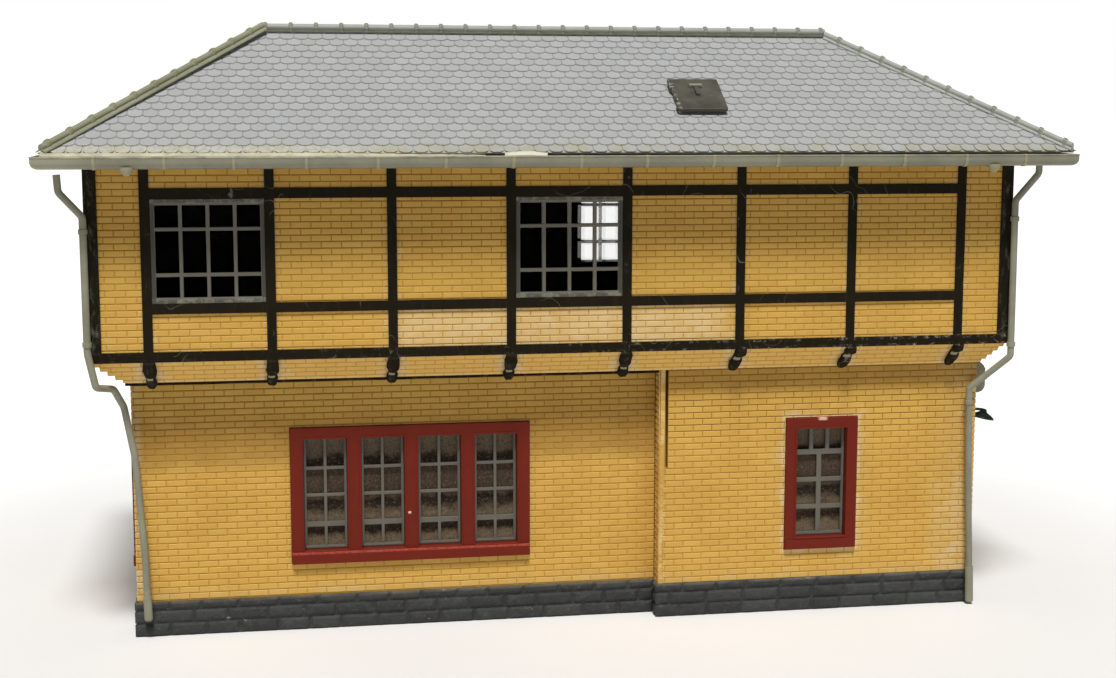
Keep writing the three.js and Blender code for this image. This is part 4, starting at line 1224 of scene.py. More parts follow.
def jetty_console():
    """Block with rounded corners and two studs on the right wall."""
    shape = Shape()
    wall_x, middle_z = CONSOLE[0][0], 38.4
    loft(shape, [[(wall_x + (x - wall_x) * scale, y,
                   middle_z + (z - middle_z) * (0.94 + 0.06 * scale)) for x, z in CONSOLE]
                 for y, scale in ((-20.9, 0.9), (-20.75, 1.0), (-19.65, 1.0), (-19.5, 0.9))])
    for z in (37.0, 39.7):
        tube(shape, [(wall_x, -20.2, z), (72.32, -20.2, z)], 0.28, sides=10)
    make("jetty_console_block", shape, [OLIVE], stands="jetty_console", smooth=40)


# ------------------------------------------------------------------ upper storey
def upper_walls():
    holes = {"front": [bay_rect(i) for i in FRONT_BAYS], "back": [bay_rect(i) for i in BACK_BAYS],
             "left": [SIDE_RECT], "right": [SIDE_RECT]}
    for side, plane in UPPER_FACES.items():
        if side in LONG_SIDES:
            half, core_in, face_in, shift = UPPER_X, 0.16, 0.02, 0.0
        else:
            half, core_in, face_in, shift = UPPER_Y, WALL, 0.2, 0.6
        brick_wall("upper_wall_" + side, plane,
                   (-half + core_in, half - core_in, Z_SOLE, WALL_TOP),
                   (-half + face_in, half - face_in, Z_SOLE + 1.3, WALL_TOP),
                   BRICK_UPPER_FRONT if side == "front" else BRICK_UPPER_SIDE,
                   holes[side], shift=shift)


# Stations down a strut: (place from 0 to 1, half width, half thickness, sideways shift, shade).
# A shade of 0.8 or more gets a painted highlight.
LOBED_STRUT = (
    (0.0, 0.76, 0.55, 0, 0.5), (0.12, 0.84, 0.62, 0, 0.5), (0.26, 0.9, 0.66, 0.02, 0.5),
    (0.4, 0.86, 0.64, 0.05, 0.5), (0.5, 0.7, 0.56, 0.06, 0.5), (0.56, 0.54, 0.5, 0.06, 0.95),
    (0.61, 0.6, 0.48, 0.08, 0.9), (0.67, 0.74, 0.54, 0.12, 0.5), (0.78, 0.78, 0.56, 0.16, 0.5),
    (0.89, 0.7, 0.48, 0.16, 0.5), (0.96, 0.5, 0.36, 0.12, 0.5), (0.99, 0.3, 0.22, 0.12, 0.5),
    (1.0, 0.08, 0.08, 0.12, 0.5),
)
SLANTED_STRUT = (
    (0.0, 0.7, 0.5, 0.35, 0.5), (0.12, 0.82, 0.55, 0.32, 0.5), (0.22, 0.86, 0.58, 0.25, 0.5),
    (0.3, 0.6, 0.5, 0.02, 0.9), (0.38, 0.66, 0.5, -0.1, 0.95), (0.46, 0.82, 0.56, -0.1, 0.5),
    (0.62, 0.84, 0.56, -0.25, 0.5), (0.78, 0.8, 0.54, -0.4, 0.5), (0.9, 0.66, 0.46, -0.5, 0.5),
    (0.96, 0.46, 0.34, -0.52, 0.5), (0.99, 0.26, 0.2, -0.52, 0.5), (1.0, 0.08, 0.08, -0.52, 0.5),
)


def strut(shape, side, along, reach, seed, lobed=False):
    """Moulded strut down the cove; reach is how much of the cove's height it covers."""
    cove, length = COVES[side]
    head = np.array(UPPER_FACES[side].at(along, COVE_TOP + 0.35, 0.02))
    foot = np.array(cove.at(along, length * (1 - reach)))
    dice = random.Random(seed)
    way = dice.choice((-1, 1)) if lobed else 1
    turns = [2 * math.pi * k / 16 for k in range(16)]

    def squared(value):
        """Pushes a sine or cosine towards a squarer section."""
        return math.copysign(abs(value) ** 0.7, value)

    rings, shades = [], []
    for t, width, thick, shift, shade in LOBED_STRUT if lobed else SLANTED_STRUT:
        width *= 1.12 * (1 + dice.uniform(-0.06, 0.06))
        thick *= 1 + dice.uniform(-0.06, 0.06)
        centre = (head + (foot - head) * t + cove.out * (0.5 if shade < 0.8 else 0.46)
                  + cove.along * (shift * way + dice.uniform(-0.04, 0.04)))
        for turn in turns:
            # the painted highlight only shows on the outer face
            outer = math.sin(turn) > 0.3 and abs(math.cos(turn) + 0.2) < 0.75
            shades.append(shade if shade < 0.8 or outer else 0.5)
        uneven = [1 + dice.uniform(-0.09, 0.09) for _ in turns]
        rings.append([centre + (cove.along * width * squared(math.cos(turn))
                                + cove.out * thick * squared(math.sin(turn))) * factor
                      for turn, factor in zip(turns, uneven)])
    loft(shape, rings, shades)


def rail_openings(start, end):
    """The three openings between two posts."""
    return [(start, end, SOLE_RAIL[1], MID_RAIL[0]), (start, end, MID_RAIL[1], TOP_RAIL[0]),
            (start, end, TOP_RAIL[1], WALL_TOP + 1)]


def timber_frame(side, edge, openings, struts):
    """struts lists the keyword arguments of each strut."""
    shape = Shape()
    plate(shape, UPPER_FACES[side], (-edge, edge, SOLE_RAIL[0], WALL_TOP), openings,
          0.0, TIMBER_T)
    for values in struts:
        strut(shape, side, **values)
    make(f"timber_{side}_frame", shape, [TIMBER], stands="timber_" + side,
         bevel=0.09, smooth=45)


def timbers():
    half = POST_W / 2
    posts = [post_x(i) for i in range(POSTS)]
    # the end bays have no rails
    openings = [(-UPPER_X + CORNER_W, posts[0] - half, SOLE_RAIL[1], WALL_TOP + 1),
                (posts[-1] + half, UPPER_X - CORNER_W, SOLE_RAIL[1], WALL_TOP + 1)]
    for before, after in zip(posts, posts[1:]):
        openings += rail_openings(before + half, after - half)
    for side in LONG_SIDES:
        struts = []
        for i, x in enumerate(posts):
            lobed = side == "front" and x < STEP_X
            struts.append(dict(along=x, reach=1.12 if lobed else 0.94, seed=i, lobed=lobed))
        timber_frame(side, UPPER_X + TIMBER_T, openings, struts)

    edge = UPPER_Y - 0.02
    openings = [opening for start, end in (
        (-edge + CORNER_W, -SIDE_POST_Y - half), (-SIDE_POST_Y + half, SIDE_POST_Y - half),
        (SIDE_POST_Y + half, edge - CORNER_W)) for opening in rail_openings(start, end)]
    struts = [dict(along=y, reach=0.9, seed=int(y)) for y in (-SIDE_POST_Y, SIDE_POST_Y)]
    for side in ("left", "right"):
        timber_frame(side, edge, openings, struts)


# ------------------------------------------------------------------ windows
def lights(window, side, top, sill, mullion=0, count=1):
    """Openings of a window frame, split by mullions."""
    width = (window[1] - window[0] - 2 * side - (count - 1) * mullion) / count
    starts = [window[0] + side + i * (width + mullion) for i in range(count)]
    return [(start, start + width, window[2] + sill, window[3] - top) for start in starts]


def casement_panes(light):
    """Four rows of two panes."""
    a0, a1, v0, v1 = light
    stile, bar, middle = 0.45, 0.5, (a0 + a1) / 2
    rows = [(0.5, 3.55), (4.4, 8.5), (9.0, 12.9), (13.4, v1 - v0 - 0.25)]
    return [pane for low, high in rows for pane in (
        (a0 + stile, middle - bar / 2, v0 + low, v0 + high),
        (middle + bar / 2, a1 - stile, v0 + low, v0 + high))]


def transom_panes(light):
    """Three small panes above three rows of two."""
    a0, a1, v0, v1 = light
    stile, bar, middle, height = 0.4, 0.85, (a0 + a1) / 2, v1 - v0
    top_bar, row_bar, foot, head = 0.7, 0.75, 0.55, 3.75
    width = (a1 - a0 - 2 * stile - 2 * top_bar) / 3
    starts = [a0 + stile + i * (width + top_bar) for i in range(3)]
    panes = [(start, start + width, v0 + height - head, v0 + height - 0.35)
             for start in starts]
    cell = (height - head - 0.9 - foot - 2 * row_bar) / 3
    for row in range(3):
        low = v0 + foot + row * (cell + row_bar)
        panes += [(a0 + stile, middle - bar / 2, low, low + cell),
                  (middle + bar / 2, a1 - stile, low, low + cell)]
    return panes


def insert_panes(rect):
    """Three rows of four panes."""
    a0, a1, v0, v1 = rect[0] + 0.7, rect[1] - 0.7, rect[2] + 0.9, rect[3] - 0.95
    bar = 0.55
    width = (a1 - a0 - 3 * bar) / 4
    return [(a0 + i * (width + bar), a0 + i * (width + bar) + width, low, high)
            for low, high in ((v0, v0 + 3.2), (v0 + 3.75, v0 + 10.15), (v0 + 10.7, v1))
            for i in range(4)]


def uneven_sheet(shape, plane, rect, cell=0.9, face=-1.66, back=-1.98):
    a0, a1, v0, v1 = rect
    columns, rows = int((a1 - a0) / cell), int((v1 - v0) / cell)
    points = []
    for j in range(rows + 1):
        for i in range(columns + 1):
            along, up = a0 + (a1 - a0) * i / columns, v0 + (v1 - v0) * j / rows
            at_edge = min(i, columns - i, j, rows - j) < 1
            ripple = 0.0 if at_edge else 0.02 * wobble(along * 0.5, up * 0.5, 2.0)
            points.append((along, up, face + ripple))
    count = len(points)
    faces = grid_faces(columns, rows)
    faces += [(count + a, count + d, count + c, count + b) for a, b, c, d in faces]
    points += [(along, up, back) for along, up, _ in points]
    rim = grid_rim(columns, rows)
    faces += [(p, count + p, count + q, q) for p, q in zip(rim, rim[1:] + rim[:1])]
    put(shape, plane, points, faces)


def lower_window(name, plane, window, openings, pane_layout, glass):
    shape = Shape()
    plate(shape, plane, inset(window, GAP), openings, -1.0, 0.5)
    # the sill board stands proud of the frame
    sill_top, sill_face = (1.95, 0.92) if len(openings) > 1 else (1.7, 0.66)
    plate(shape, plane, (window[0] + 0.12, window[1] - 0.12,
                         window[2] + 0.08, window[2] + sill_top), [], 0.4, sill_face)
    # a fine bead round every light
    for light in openings:
        plate(shape, plane, inset(light, -0.32), [inset(light, -0.02)], 0.45, 0.62)
    make(name + "_frame_red", shape, [RED], stands=name + "_frame",
         bevel=0.16, segments=3)

    shape = Shape()
    panes = [pane for light in openings for pane in pane_layout(light)]
    plate(shape, plane, inset(window, GAP + 0.2), panes, -1.5, -1.02)
    # raised stiles of each light
    for light in openings:
        inner = (light[0] + 0.33, light[1] - 0.33, light[2] + 0.38, light[3] - 0.2)
        plate(shape, plane, inset(light, 0.02), [inner], -1.06, -0.82)
    make(name + "_sash_bars", shape, [GREY], stands=name + "_sash", bevel=0.1)

    shape = Shape()
    uneven_sheet(shape, plane, glass)
    make(name + "_glass_frosted", shape, [FROST], stands=name + "_glazing")


def lower_windows():
    lap = 1.2                                # the glass reaches this far behind the wall
    lower_window("window_four", front(-FRONT_Y), WIDE_WINDOW,
                 lights(WIDE_WINDOW, side=2.1, top=1.9, sill=2.15, mullion=2.25, count=4),
                 casement_panes, inset(WIDE_WINDOW, -lap))
    lower_window("window_small", front(-PROUD_Y), SMALL_WINDOW,
                 lights(SMALL_WINDOW, side=1.9, top=1.85, sill=2.1),
                 transom_panes, inset(SMALL_WINDOW, -lap))
    lower_window("window_side", left(LEFT_X), SIDE_WINDOW,
                 lights(SIDE_WINDOW, side=1.9, top=1.85, sill=2.1),
                 transom_panes, (SIDE_WINDOW[0] - 0.7, *inset(SIDE_WINDOW, -lap)[1:]))


def upper_inserts():
    inserts = [(f"{side}_{n}", side, bay_rect(i))
               for side, bays in (("front", FRONT_BAYS), ("back", BACK_BAYS))
               for n, i in enumerate(bays, start=1)]
    inserts += [(side, side, SIDE_RECT) for side in ("left", "right")]
    for label, side, rect in inserts:
        name, plane = "window_upper_" + label, UPPER_FACES[side]
        shape = Shape()
        plate(shape, plane, inset(rect, GAP - 0.02), insert_panes(rect), -0.75, 0.1)
        # raised outer rim, with shade 0 for its painted shade
        plate(shape, plane, inset(rect, GAP), [inset(rect, 0.6)], 0.08, 0.24, shade=0.0)
        make(name + "_bars", shape, [GREY], stands=name, bevel=0.09)


# ------------------------------------------------------------------ entrance and lamp
# Turned profiles: (radius, distance along the axis).
KNOB = ((0.0, 0.0), (0.42, 0.0), (0.42, 0.1), (0.16, 0.14), (0.14, 0.3), (0.3, 0.4),
        (0.32, 0.52), (0.2, 0.62), (0.0, 0.64))
LAMP_SHADE = ((0.0, -0.28), (0.9, -0.32), (1.84, -0.62), (1.97, -0.68), (2.0, -0.6),
              (1.92, -0.42), (1.4, -0.05), (0.85, 0.22), (0.6, 0.4), (0.5, 0.62), (0.48, 0.82),
              (0.3, 0.9), (0.0, 0.92))
LAMP_BULB = ((0.0, -0.75), (0.3, -0.7), (0.48, -0.5), (0.5, -0.35), (0.0, -0.2))
LAMP_ROSE = ((0.0, 0.0), (0.9, 0.0), (0.92, 0.2), (0.84, 0.4), (0.5, 0.52), (0.0, 0.55))
OUTLET = ((0.0, 0.0), (1.0, 0.0), (1.0, 0.4), (0.82, 0.8), (0.5, 1.2), (0.4, 1.3), (0.0, 1.32))


def entrance():
    plane = right(RIGHT_X)
    a0, a1, foot, head = DOOR[0], DOOR[1], DOOR[2] + GAP, DOOR[3]
    shape = Shape()
    plate(shape, plane, (a0 + GAP, a1 - GAP, foot, head - GAP),
          [(a0 + DOOR_FRAME_W, a1 - DOOR_FRAME_W, 0, head - DOOR_FRAME_W)], -1.2, 0.4)
    make("door_frame_red", shape, [RED], stands="door_frame", bevel=0.1)

    a0, a1 = a0 + DOOR_FRAME_W + 0.12, a1 - DOOR_FRAME_W - 0.12
    v0, v1 = foot + 0.3, head - DOOR_FRAME_W - 0.12
    middle, stile = (a0 + a1) / 2, 1.3
    # two rows of panels and one of panes: low, high, half width of the middle bar
    rows = ((v0 + 1.9, v0 + 8.6, 0.5), (v0 + 10.0, v0 + 14.0, 0.5),
            (v0 + 15.4, v1 - 1.3, 0.3))
    holes = [hole for low, high, bar in rows for hole in (
        (a0 + stile, middle - bar, low, high), (middle + bar, a1 - stile, low, high))]
    shape = Shape()
    plate(shape, plane, (a0, a1, v0, v1), holes, -0.65, 0.15)
    for hole in holes[:4]:
        plate(shape, plane, inset(hole, -0.05), [], -0.5, -0.25)
        plate(shape, plane, inset(hole, 0.55), [], -0.3, -0.02)
    for hole in holes[4:]:
        plate(shape, plane, inset(hole, -0.05), [], -0.4, -0.2, slot=1)
    make("door_leaf_panelled", shape, [RED, FROST], stands="door_leaf",
         body="door", bevel=0.08)

    shape = Shape()
    lathe(shape, (RIGHT_X + 0.14, a1 - 1.1, 12.25), (1, 0, 0), KNOB, sides=16, shade=0.9)
    make("door_knob", shape, [OLIVE], body="door", smooth=50)


def lamp():
    shape = Shape()
    x, y, z = RIGHT_X + 3.2, -18.4, 31.6
    tilt = math.radians(12)
    axis = (math.sin(tilt), 0, math.cos(tilt))
    lathe(shape, (x, y, z), axis, LAMP_SHADE, sides=28)
    lathe(shape, (x, y, z), axis, LAMP_BULB, sides=16, shade=1.0)
    lathe(shape, (RIGHT_X + 0.02, y, z - 0.6), (1, 0, 0), LAMP_ROSE, sides=20)
    arm = [(RIGHT_X + 0.3, y, z - 0.6), (RIGHT_X + 1.4, y, z + 1.0), (RIGHT_X + 3.15, y, z + 0.75)]
    tube(shape, smooth_path(arm, soft=1.0, spacing=2.0), 0.24, sides=12)
    make("wall_lamp_shade", shape, [LAMP], stands="wall_lamp", smooth=50)


# ------------------------------------------------------------------ downpipes
# Corners from the gutter down, then collars as (z, half height, extra radius), highest first.
PIPES = {
    "downpipe_left": (
        ((-77.15, -27.0, 73.5), (-77.0, -27.0, 70.9), (-73.65, -27.1, 67.2),
         (-73.6, -27.1, 46.6), (-72.6, -26.4, 41.3), (-70.4, -23.0, 40.5), (-69.1, -21.2, 37.4),
         (-67.75, -21.0, 29.7), (-67.2, -21.0, 22.5), (-66.6, -21.0, 12.8), (-66.4, -21.0, 3.0)),
        ((65.0, 0.4, 0.14), (48.0, 0.4, 0.14), (5.1, 1.9, 0.12))),
    "downpipe_right": (
        ((77.6, -27.0, 74.4), (77.6, -27.0, 73.0), (73.65, -27.1, 68.6), (73.75, -27.1, 42.9),
         (70.3, -24.4, 39.0), (68.0, -24.0, 37.2), (68.4, -24.0, 21.5), (69.0, -24.0, 7.6),
         (69.25, -24.0, 0.4)),
        ((65.6, 0.4, 0.16), (44.9, 0.4, 0.16), (34.8, 0.35, 0.14), (3.5, 3.0, 0.14))),
}


def pipes():
    for name, (corners, collars) in PIPES.items():
        path = smooth_path(corners, soft=0.5, spacing=12.0)
        stations = [(path[0], PIPE_R, 0.45)]     # point, radius, shade
        for here, there in zip(path, path[1:]):
            for middle, half, extra in collars:
                # a collar is only made where it fits between two points of the path
                if here[2] > middle + half and there[2] < middle - half:
                    for z, grow in ((middle + half, 0), (middle + half - 0.04, extra),
                                    (middle - half + 0.04, extra), (middle - half, 0)):
                        t = (here[2] - z) / (here[2] - there[2])
                        stations.append((here + (there - here) * t, PIPE_R + grow,
                                         0.8 if grow else 0.45))
            stations.append((there, PIPE_R, 0.45))
        points, radii, shades = (list(column) for column in zip(*stations))
        shape = Shape()
        tube(shape, points, radii, sides=16, shade=shades)
        make(name + "_tube", shape, [OLIVE], stands=name, smooth=42)


# ------------------------------------------------------------------ roof
TILE_W, TILE_ROW = 2.285, SLOPE / 18.4
TILE_L = TILE_ROW * 1.62
TILE_BED = 0.24                              # the tiles lie on a base this far below the CAD face


def mirrored(centre, start, half_outline):
    """Outline from its right half, given as (distance from centre, distance above start)."""
    return ([(centre - a, start + v) for a, v in half_outline]
            + [(centre + a, start + v) for a, v in reversed(half_outline)])


def roof_tile(shape, plane, centre, start, lines):
    """One tile with cut lower corners, and a step under it coloured with painted shadow, seen as
    its joint.
    """
    half = TILE_W / 2 - 0.08
    cut_a, cut_v = 0.56 + rng.uniform(-0.03, 0.03), 0.72 + rng.uniform(-0.03, 0.03)
    low_edge = start + rng.uniform(-0.015, 0.015)
    outline = clip(mirrored(centre, low_edge, [
        (half, TILE_L), (half, cut_v), (half * 0.9, cut_v * 0.55), (half - cut_a, 0.03)]), lines)
    if len(outline) < 3 or abs(area(outline)) < 0.05:
        return
    lift = rng.uniform(-0.006, 0.01)

    def top(along, up):
        return -TILE_BED + 0.24 + lift - 0.2 * (up - start) / TILE_L

    def bottom(along, up):
        return -TILE_BED + 0.06 + lift - 0.12 * (up - start) / TILE_L

    prism(shape, plane, outline, bottom, top, rng.uniform(0.15, 1.0))
    joint = 0.11
    step = clip(mirrored(centre, low_edge, [
        (half + joint, TILE_L - 0.3), (half + joint, cut_v - 0.03),
        (half * 0.9 + joint, cut_v * 0.55 - 0.08), (half - cut_a + 0.05, 0.03 - joint)]), lines)
    if len(step) > 2 and abs(area(step)) > 0.05 and start > 0.3:
        prism(shape, plane, step, lambda a, v: top(a, v) - 0.14,
              lambda a, v: top(a, v) - 0.06, 0.0)


def roof_panel(side, plane, half, top_half, phase):
    """Tiled slope, half wide at the eaves and top_half at the ridge; phase shifts the tiles."""
    shape = Shape()
    # base board, pulled back a little from the hips
    base_top = top_half - 0.2 if top_half > 1 else 0.1
    prism(shape, plane, [(-half + 0.25, 0.0), (half - 0.25, 0.0), (base_top, SLOPE - 0.15),
                         (-base_top, SLOPE - 0.15)], -0.5, -TILE_BED, 0.4)
    lean = (half - top_half) / SLOPE
    length = math.hypot(1, lean)
    hip = half / length - 0.05
    lines = [(1 / length, lean / length, hip), (-1 / length, lean / length, hip),
             (0, 1, SLOPE - 0.05)]
    limit = half + TILE_W
    for row in range(int(SLOPE / TILE_ROW) + 1):
        offset = (row % 2) * TILE_W / 2 + phase
        first = int(math.floor((-limit - offset) / TILE_W))
        last = int(math.ceil((limit - offset) / TILE_W))
        for i in range(first, last + 1):
            roof_tile(shape, plane, offset + i * TILE_W, row * TILE_ROW - 0.12, lines)
    make(f"roof_panel_{side}_tiles", shape, [TILE], stands="roof_panel_" + side,
         body="roof")


def front_slope(shift):
    return Plane((shift, -EAVES_Y, EAVES_Z), (1, 0, 0), (0, COS, SIN), (0, -SIN, COS))


def roof():
    roof_panel("front", front_slope(ROOF_SHIFT), EAVES_X, RIDGE_X, phase=0.4)
    roof_panel("back", Plane((ROOF_SHIFT, EAVES_Y, EAVES_Z), (1, 0, 0), (0, -COS, SIN),
                             (0, SIN, COS)), EAVES_X, RIDGE_X, phase=1.1)
    roof_panel("right", Plane((EAVES_X + ROOF_SHIFT, 0, EAVES_Z), (0, 1, 0), (-COS, 0, SIN),
                              (SIN, 0, COS)), EAVES_Y, 0.0, phase=0.2)
    roof_panel("left", Plane((-EAVES_X + ROOF_SHIFT, 0, EAVES_Z), (0, 1, 0), (COS, 0, SIN),
                             (-SIN, 0, COS)), EAVES_Y, 0.0, phase=0.9)


# ------------------------------------------------------------------ ridge and hip caps
def cap_ring(scale, fall, wing, radius, middle):
    """Section of a cap as (across, up, shade): a roll of a given scale on a thin foot. The low
    shades on the foot and under the roll are painted shade.
    """
    foot = [(wing, -fall * wing + 0.1, 0.1), (wing, -fall * wing + 0.28, 0.15),
            (0.5 * scale, -fall * 0.5 + 0.34, 0.12)]
    points = list(foot)
    for i in range(13):
        turn = math.radians(-32 + 244 * i / 12)
        crown = 0.95 if scale > 1.1 else 0.45
        points.append((radius * scale * math.cos(turn), middle + radius * scale * math.sin(turn),
                       crown if 2 <= i <= 10 else 0.2))
    points += [(-x, z, shade) for x, z, shade in reversed(foot)]
    points.append((0.0, 0.05, 0.1))
    return points


def cap_stations(length, pitch, start):
    """(distance, scale) along a cap with a raised collar every pitch."""
    stations = [(0.0, 1.0)]
    place = start
    while place < length - 1.0:
        stations += [(max(place, 0.02), 1.0), (place + 0.1, 1.38), (place + 0.35, 1.46),
                     (place + 0.6, 1.38), (place + 0.72, 1.0)]
        place += pitch
    stations.append((length, 1.0))
    return stations[:1] + [here for before, here in zip(stations, stations[1:])
                           if here[0] > before[0] + 0.01]


def cap(name, sections, place, material):
    """sections are (distance, section); place(distance, across, up) gives the point."""
    shape = Shape()
    loft(shape, [[place(distance, across, up) for across, up, _ in section]
                 for distance, section in sections],
         [shade for _, section in sections for _, _, shade in section])
    make(name + "_rolls", shape, [material], stands=name, body="roof", smooth=38)


def ridge_cap():
    end = RIDGE_X + 0.75
    sections = [(distance, cap_ring(scale, TAN, wing=0.95, radius=0.56, middle=0.46))
                for distance, scale in cap_stations(2 * end, pitch=4.135, start=0.15)]
    cap("ridge_cap", sections,
        lambda distance, across, up: (ROOF_SHIFT - end + distance, across, RIDGE_Z + up),
        OLIVE_LIGHT)


def hip_cap(name, x_sign, y_sign, lift=0.0):
    """A lifted cap stands off the tiles and shows a broad smooth flank."""
    root = math.sqrt(2)
    start = 1.0
    length = EAVES_Y * root - 0.5 - start
    sections = []
    for distance, scale in cap_stations(length, pitch=4.05, start=2.6):
        section = []
        for across, up, shade in cap_ring(scale, TAN / root, wing=1.0, radius=0.54, middle=0.44):
            # flat caps get no painted shade on their foot; a lifted cap keeps it under the roll
            # but not on its flank
            if not lift:
                shade = max(shade, 0.34)
            elif abs(across) > 0.45 and up < 0.2:
                shade = 0.5
            if abs(across) > 0.9:
                across *= 1.12 if lift else 0.8
            section.append((across, up, shade))
        sections.append((distance, section))

    def place(distance, across, up):
        out = (start + distance) / root
        return (ROOF_SHIFT + x_sign * (RIDGE_X + out) - x_sign * across / root,
                y_sign * out + y_sign * across / root,
                RIDGE_Z - out * TAN + up + lift * (1 - distance / length) ** 1.1)

    cap(name, sections, place, OLIVE_GREEN if lift else OLIVE_LIGHT)


def caps():
    ridge_cap()
    hip_cap("hip_cap_front_left", -1, -1, lift=0.65)
    hip_cap("hip_cap_front_right", 1, -1)
    hip_cap("hip_cap_back_left", -1, 1)
    hip_cap("hip_cap_back_right", 1, 1)


# ------------------------------------------------------------------ gutter
# x of the joint rings on the front; the back has them mirrored.
GUTTER_JOINTS_X = (-71.11, -61.15, -51.19, -40.66, -30.13, -20.03, -9.8, 0.57, 10.78, 21.28,
                   31.45, 41.76, 52.04, 62.29, 72.17)
GUTTER_JOINTS_Y = (-26, -15.6, -5.2, 5.2, 15.6, 26)


def gutter_profile(grow=0.0):
    """Section as (outwards, z); grow thickens the outside for a joint ring."""
    centre, centre_z, outer, inner, steps = 0.15, 75.52, 1.05, 0.68, 12
    turns = [i / steps * math.pi for i in range(steps + 1)]
    size, lip = outer + grow, 76.35 + grow * 0.3
    points = [(centre - outer, 75.53)]
    points += [(centre + size * math.cos(math.pi + turn),
                centre_z + size * math.sin(math.pi + turn)) for turn in turns]
    points += [(centre + size, 76.12), (centre + size + 0.09, 76.17),
               (centre + size + 0.09, 76.3), (centre + outer + grow * 0.6 - 0.05, lip),
               (centre + inner + 0.05, lip), (centre + inner, 76.27)]
    points += [(centre + inner * math.cos(2 * math.pi - turn),
                centre_z + inner * math.sin(2 * math.pi - turn)) for turn in turns]
    points.append((centre - inner, 75.53))
    return points


def gutter_glue(shape):
    """Old glue between tiles and lip: full on the left, thinning out, and one blob further on."""
    dice = random.Random(31)
    for x0, x1, blob, rise in ((-78.6, -14.0, False, 0.0), (-11.1, -4.6, True, 0.12)):
        count = int((x1 - x0) / 0.55)
        rings = []
        for i in range(count + 1):
            x = x0 + (x1 - x0) * i / count
            if blob:
                thin = max(0.0, 1.0 - 3.0 * min(i, count - i) / count) * 0.5
            else:
                thin = max(0.0, min(1.0, (x + 40.0) / 26.0))
            drop = 0.42 * thin + dice.uniform(-0.045, 0.03)
            section = ((-0.35, 76.2), (-0.1, 76.72 - drop), (0.12, 76.84 - drop + rise),
                       (0.38, 76.78 - drop + rise), (0.66, 76.6 - drop * 0.7 + rise),
                       (0.92, 76.39 - 0.1 * thin), (0.8, 76.15))
            rings.append([(x, -EAVES_Y - out, z) for out, z in section])
        loft(shape, rings, slot=1)


def gutter():
    shape = Shape()
    loft(shape, [[(GUTTER_SHIFT + x_sign * (GUTTER_X + out), y_sign * (EAVES_Y + out), z)
                  for out, z in gutter_profile()]
                 for x_sign, y_sign in ((1, -1), (1, 1), (-1, 1), (-1, -1))],
         shade=0.4, loop=True)
    ring = gutter_profile(grow=0.1)
    ring_half = (-0.24, 0.24)
    for sign in (-1, 1):
        for x in GUTTER_JOINTS_X:
            loft(shape, [[(-sign * x + shift, sign * (EAVES_Y + out), z) for out, z in ring]
                         for shift in ring_half], shade=0.9)
    for sign in (-1, 1):
        for y in GUTTER_JOINTS_Y:
            loft(shape, [[(GUTTER_SHIFT + sign * (GUTTER_X + out), y + shift, z)
                          for out, z in ring] for shift in ring_half], shade=0.9)
    gutter_glue(shape)
    for y in (-33.0, 33.0):
        for x in (-66.5, 67.1):
            lathe(shape, (x, y, 74.8), (0, 0, -1), OUTLET, sides=18, shade=0.9)
    make("gutter_channel", shape, [OLIVE_GUTTER, GLUE], stands="gutter",
         body="roof", smooth=40)


# ------------------------------------------------------------------ hatch
def hatch():
    x0, x1, y0, y1 = HATCH
    plane = front_slope(0)

    def up_slope(y):
        return (EAVES_Y + y) / COS

    def slope_rect(by):
        return (x0 + by, x1 - by, up_slope(y0 + by), up_slope(y1 - by))

    shape = Shape()
    plate(shape, plane, slope_rect(0.35), [slope_rect(1.4)], 0.02, 0.5)
    make("hatch_frame_curb", shape, [HATCH_GREY], stands="hatch_frame",
         body="roof", bevel=0.08)

    # lid: notched at the left edge, as if chipped
    low, high = up_slope(y0), up_slope(y1)
    height = high - low
    outline = [(x0 + 0.05, low + 0.35), (x0 + 0.35, low + 0.02), (x1 - 0.25, low),
               (x1 - 0.02, low + 0.3), (x1, high - 0.02), (x0, high),
               (x0 - 0.02, low + height * 0.74), (x0 + 0.3, low + height * 0.62),
               (x0 + 0.22, low + height * 0.42), (x0 + 0.42, low + height * 0.3),
               (x0 + 0.1, low + height * 0.2)]
    shape = Shape()
    prism(shape, plane, outline, 0.55, 1.1, 0.3)
    make("hatch_lid_plate", shape, [HATCH_GREY], stands="hatch_lid",
         body="hatch", bevel=0.1)

    # handle: a stem with a crossbar above it
    middle = (x0 + x1) / 2
    shape = Shape()
    for half, start, end, top, shade in ((0.35, 3.6, 5.6, 1.5, 0.3), (1.08, 5.6, 6.1, 1.7, 0.9)):
        low, high = up_slope(y0 + start), up_slope(y0 + end)
        prism(shape, plane, [(middle - half, low), (middle + half, low),
                             (middle + half, high), (middle - half, high)], 1.0, top, shade)
    make("hatch_handle", shape, [HATCH_GREY], body="hatch", bevel=0.1)


# ------------------------------------------------------------------ CAD nodes kept as they are
KEPT = {"base_plate": (SLAB, "stone"), "upper_floor": (SLAB, "olive_grey"),
        "ceiling_plate": (SLAB, "olive_grey"), "light_mask": (CARD, "black_card"),
        "glazing_front": (CLEAR, "clear_sheet"), "glazing_back": (CLEAR, "clear_sheet"),
        "glazing_left": (CLEAR, "clear_sheet"), "glazing_right": (CLEAR, "clear_sheet")}


def kept():
    for name, (material, slot) in KEPT.items():
        obj = frame["nodes"][name]
        obj.data.materials.clear()
        obj.data.materials.append(material)
        for polygon in obj.data.polygons:
            polygon.use_smooth = False
        obj.modifiers.new("weld", "WELD").merge_threshold = 1e-6
        add_bevel(obj, width=0.08, segments=2, angle=40)


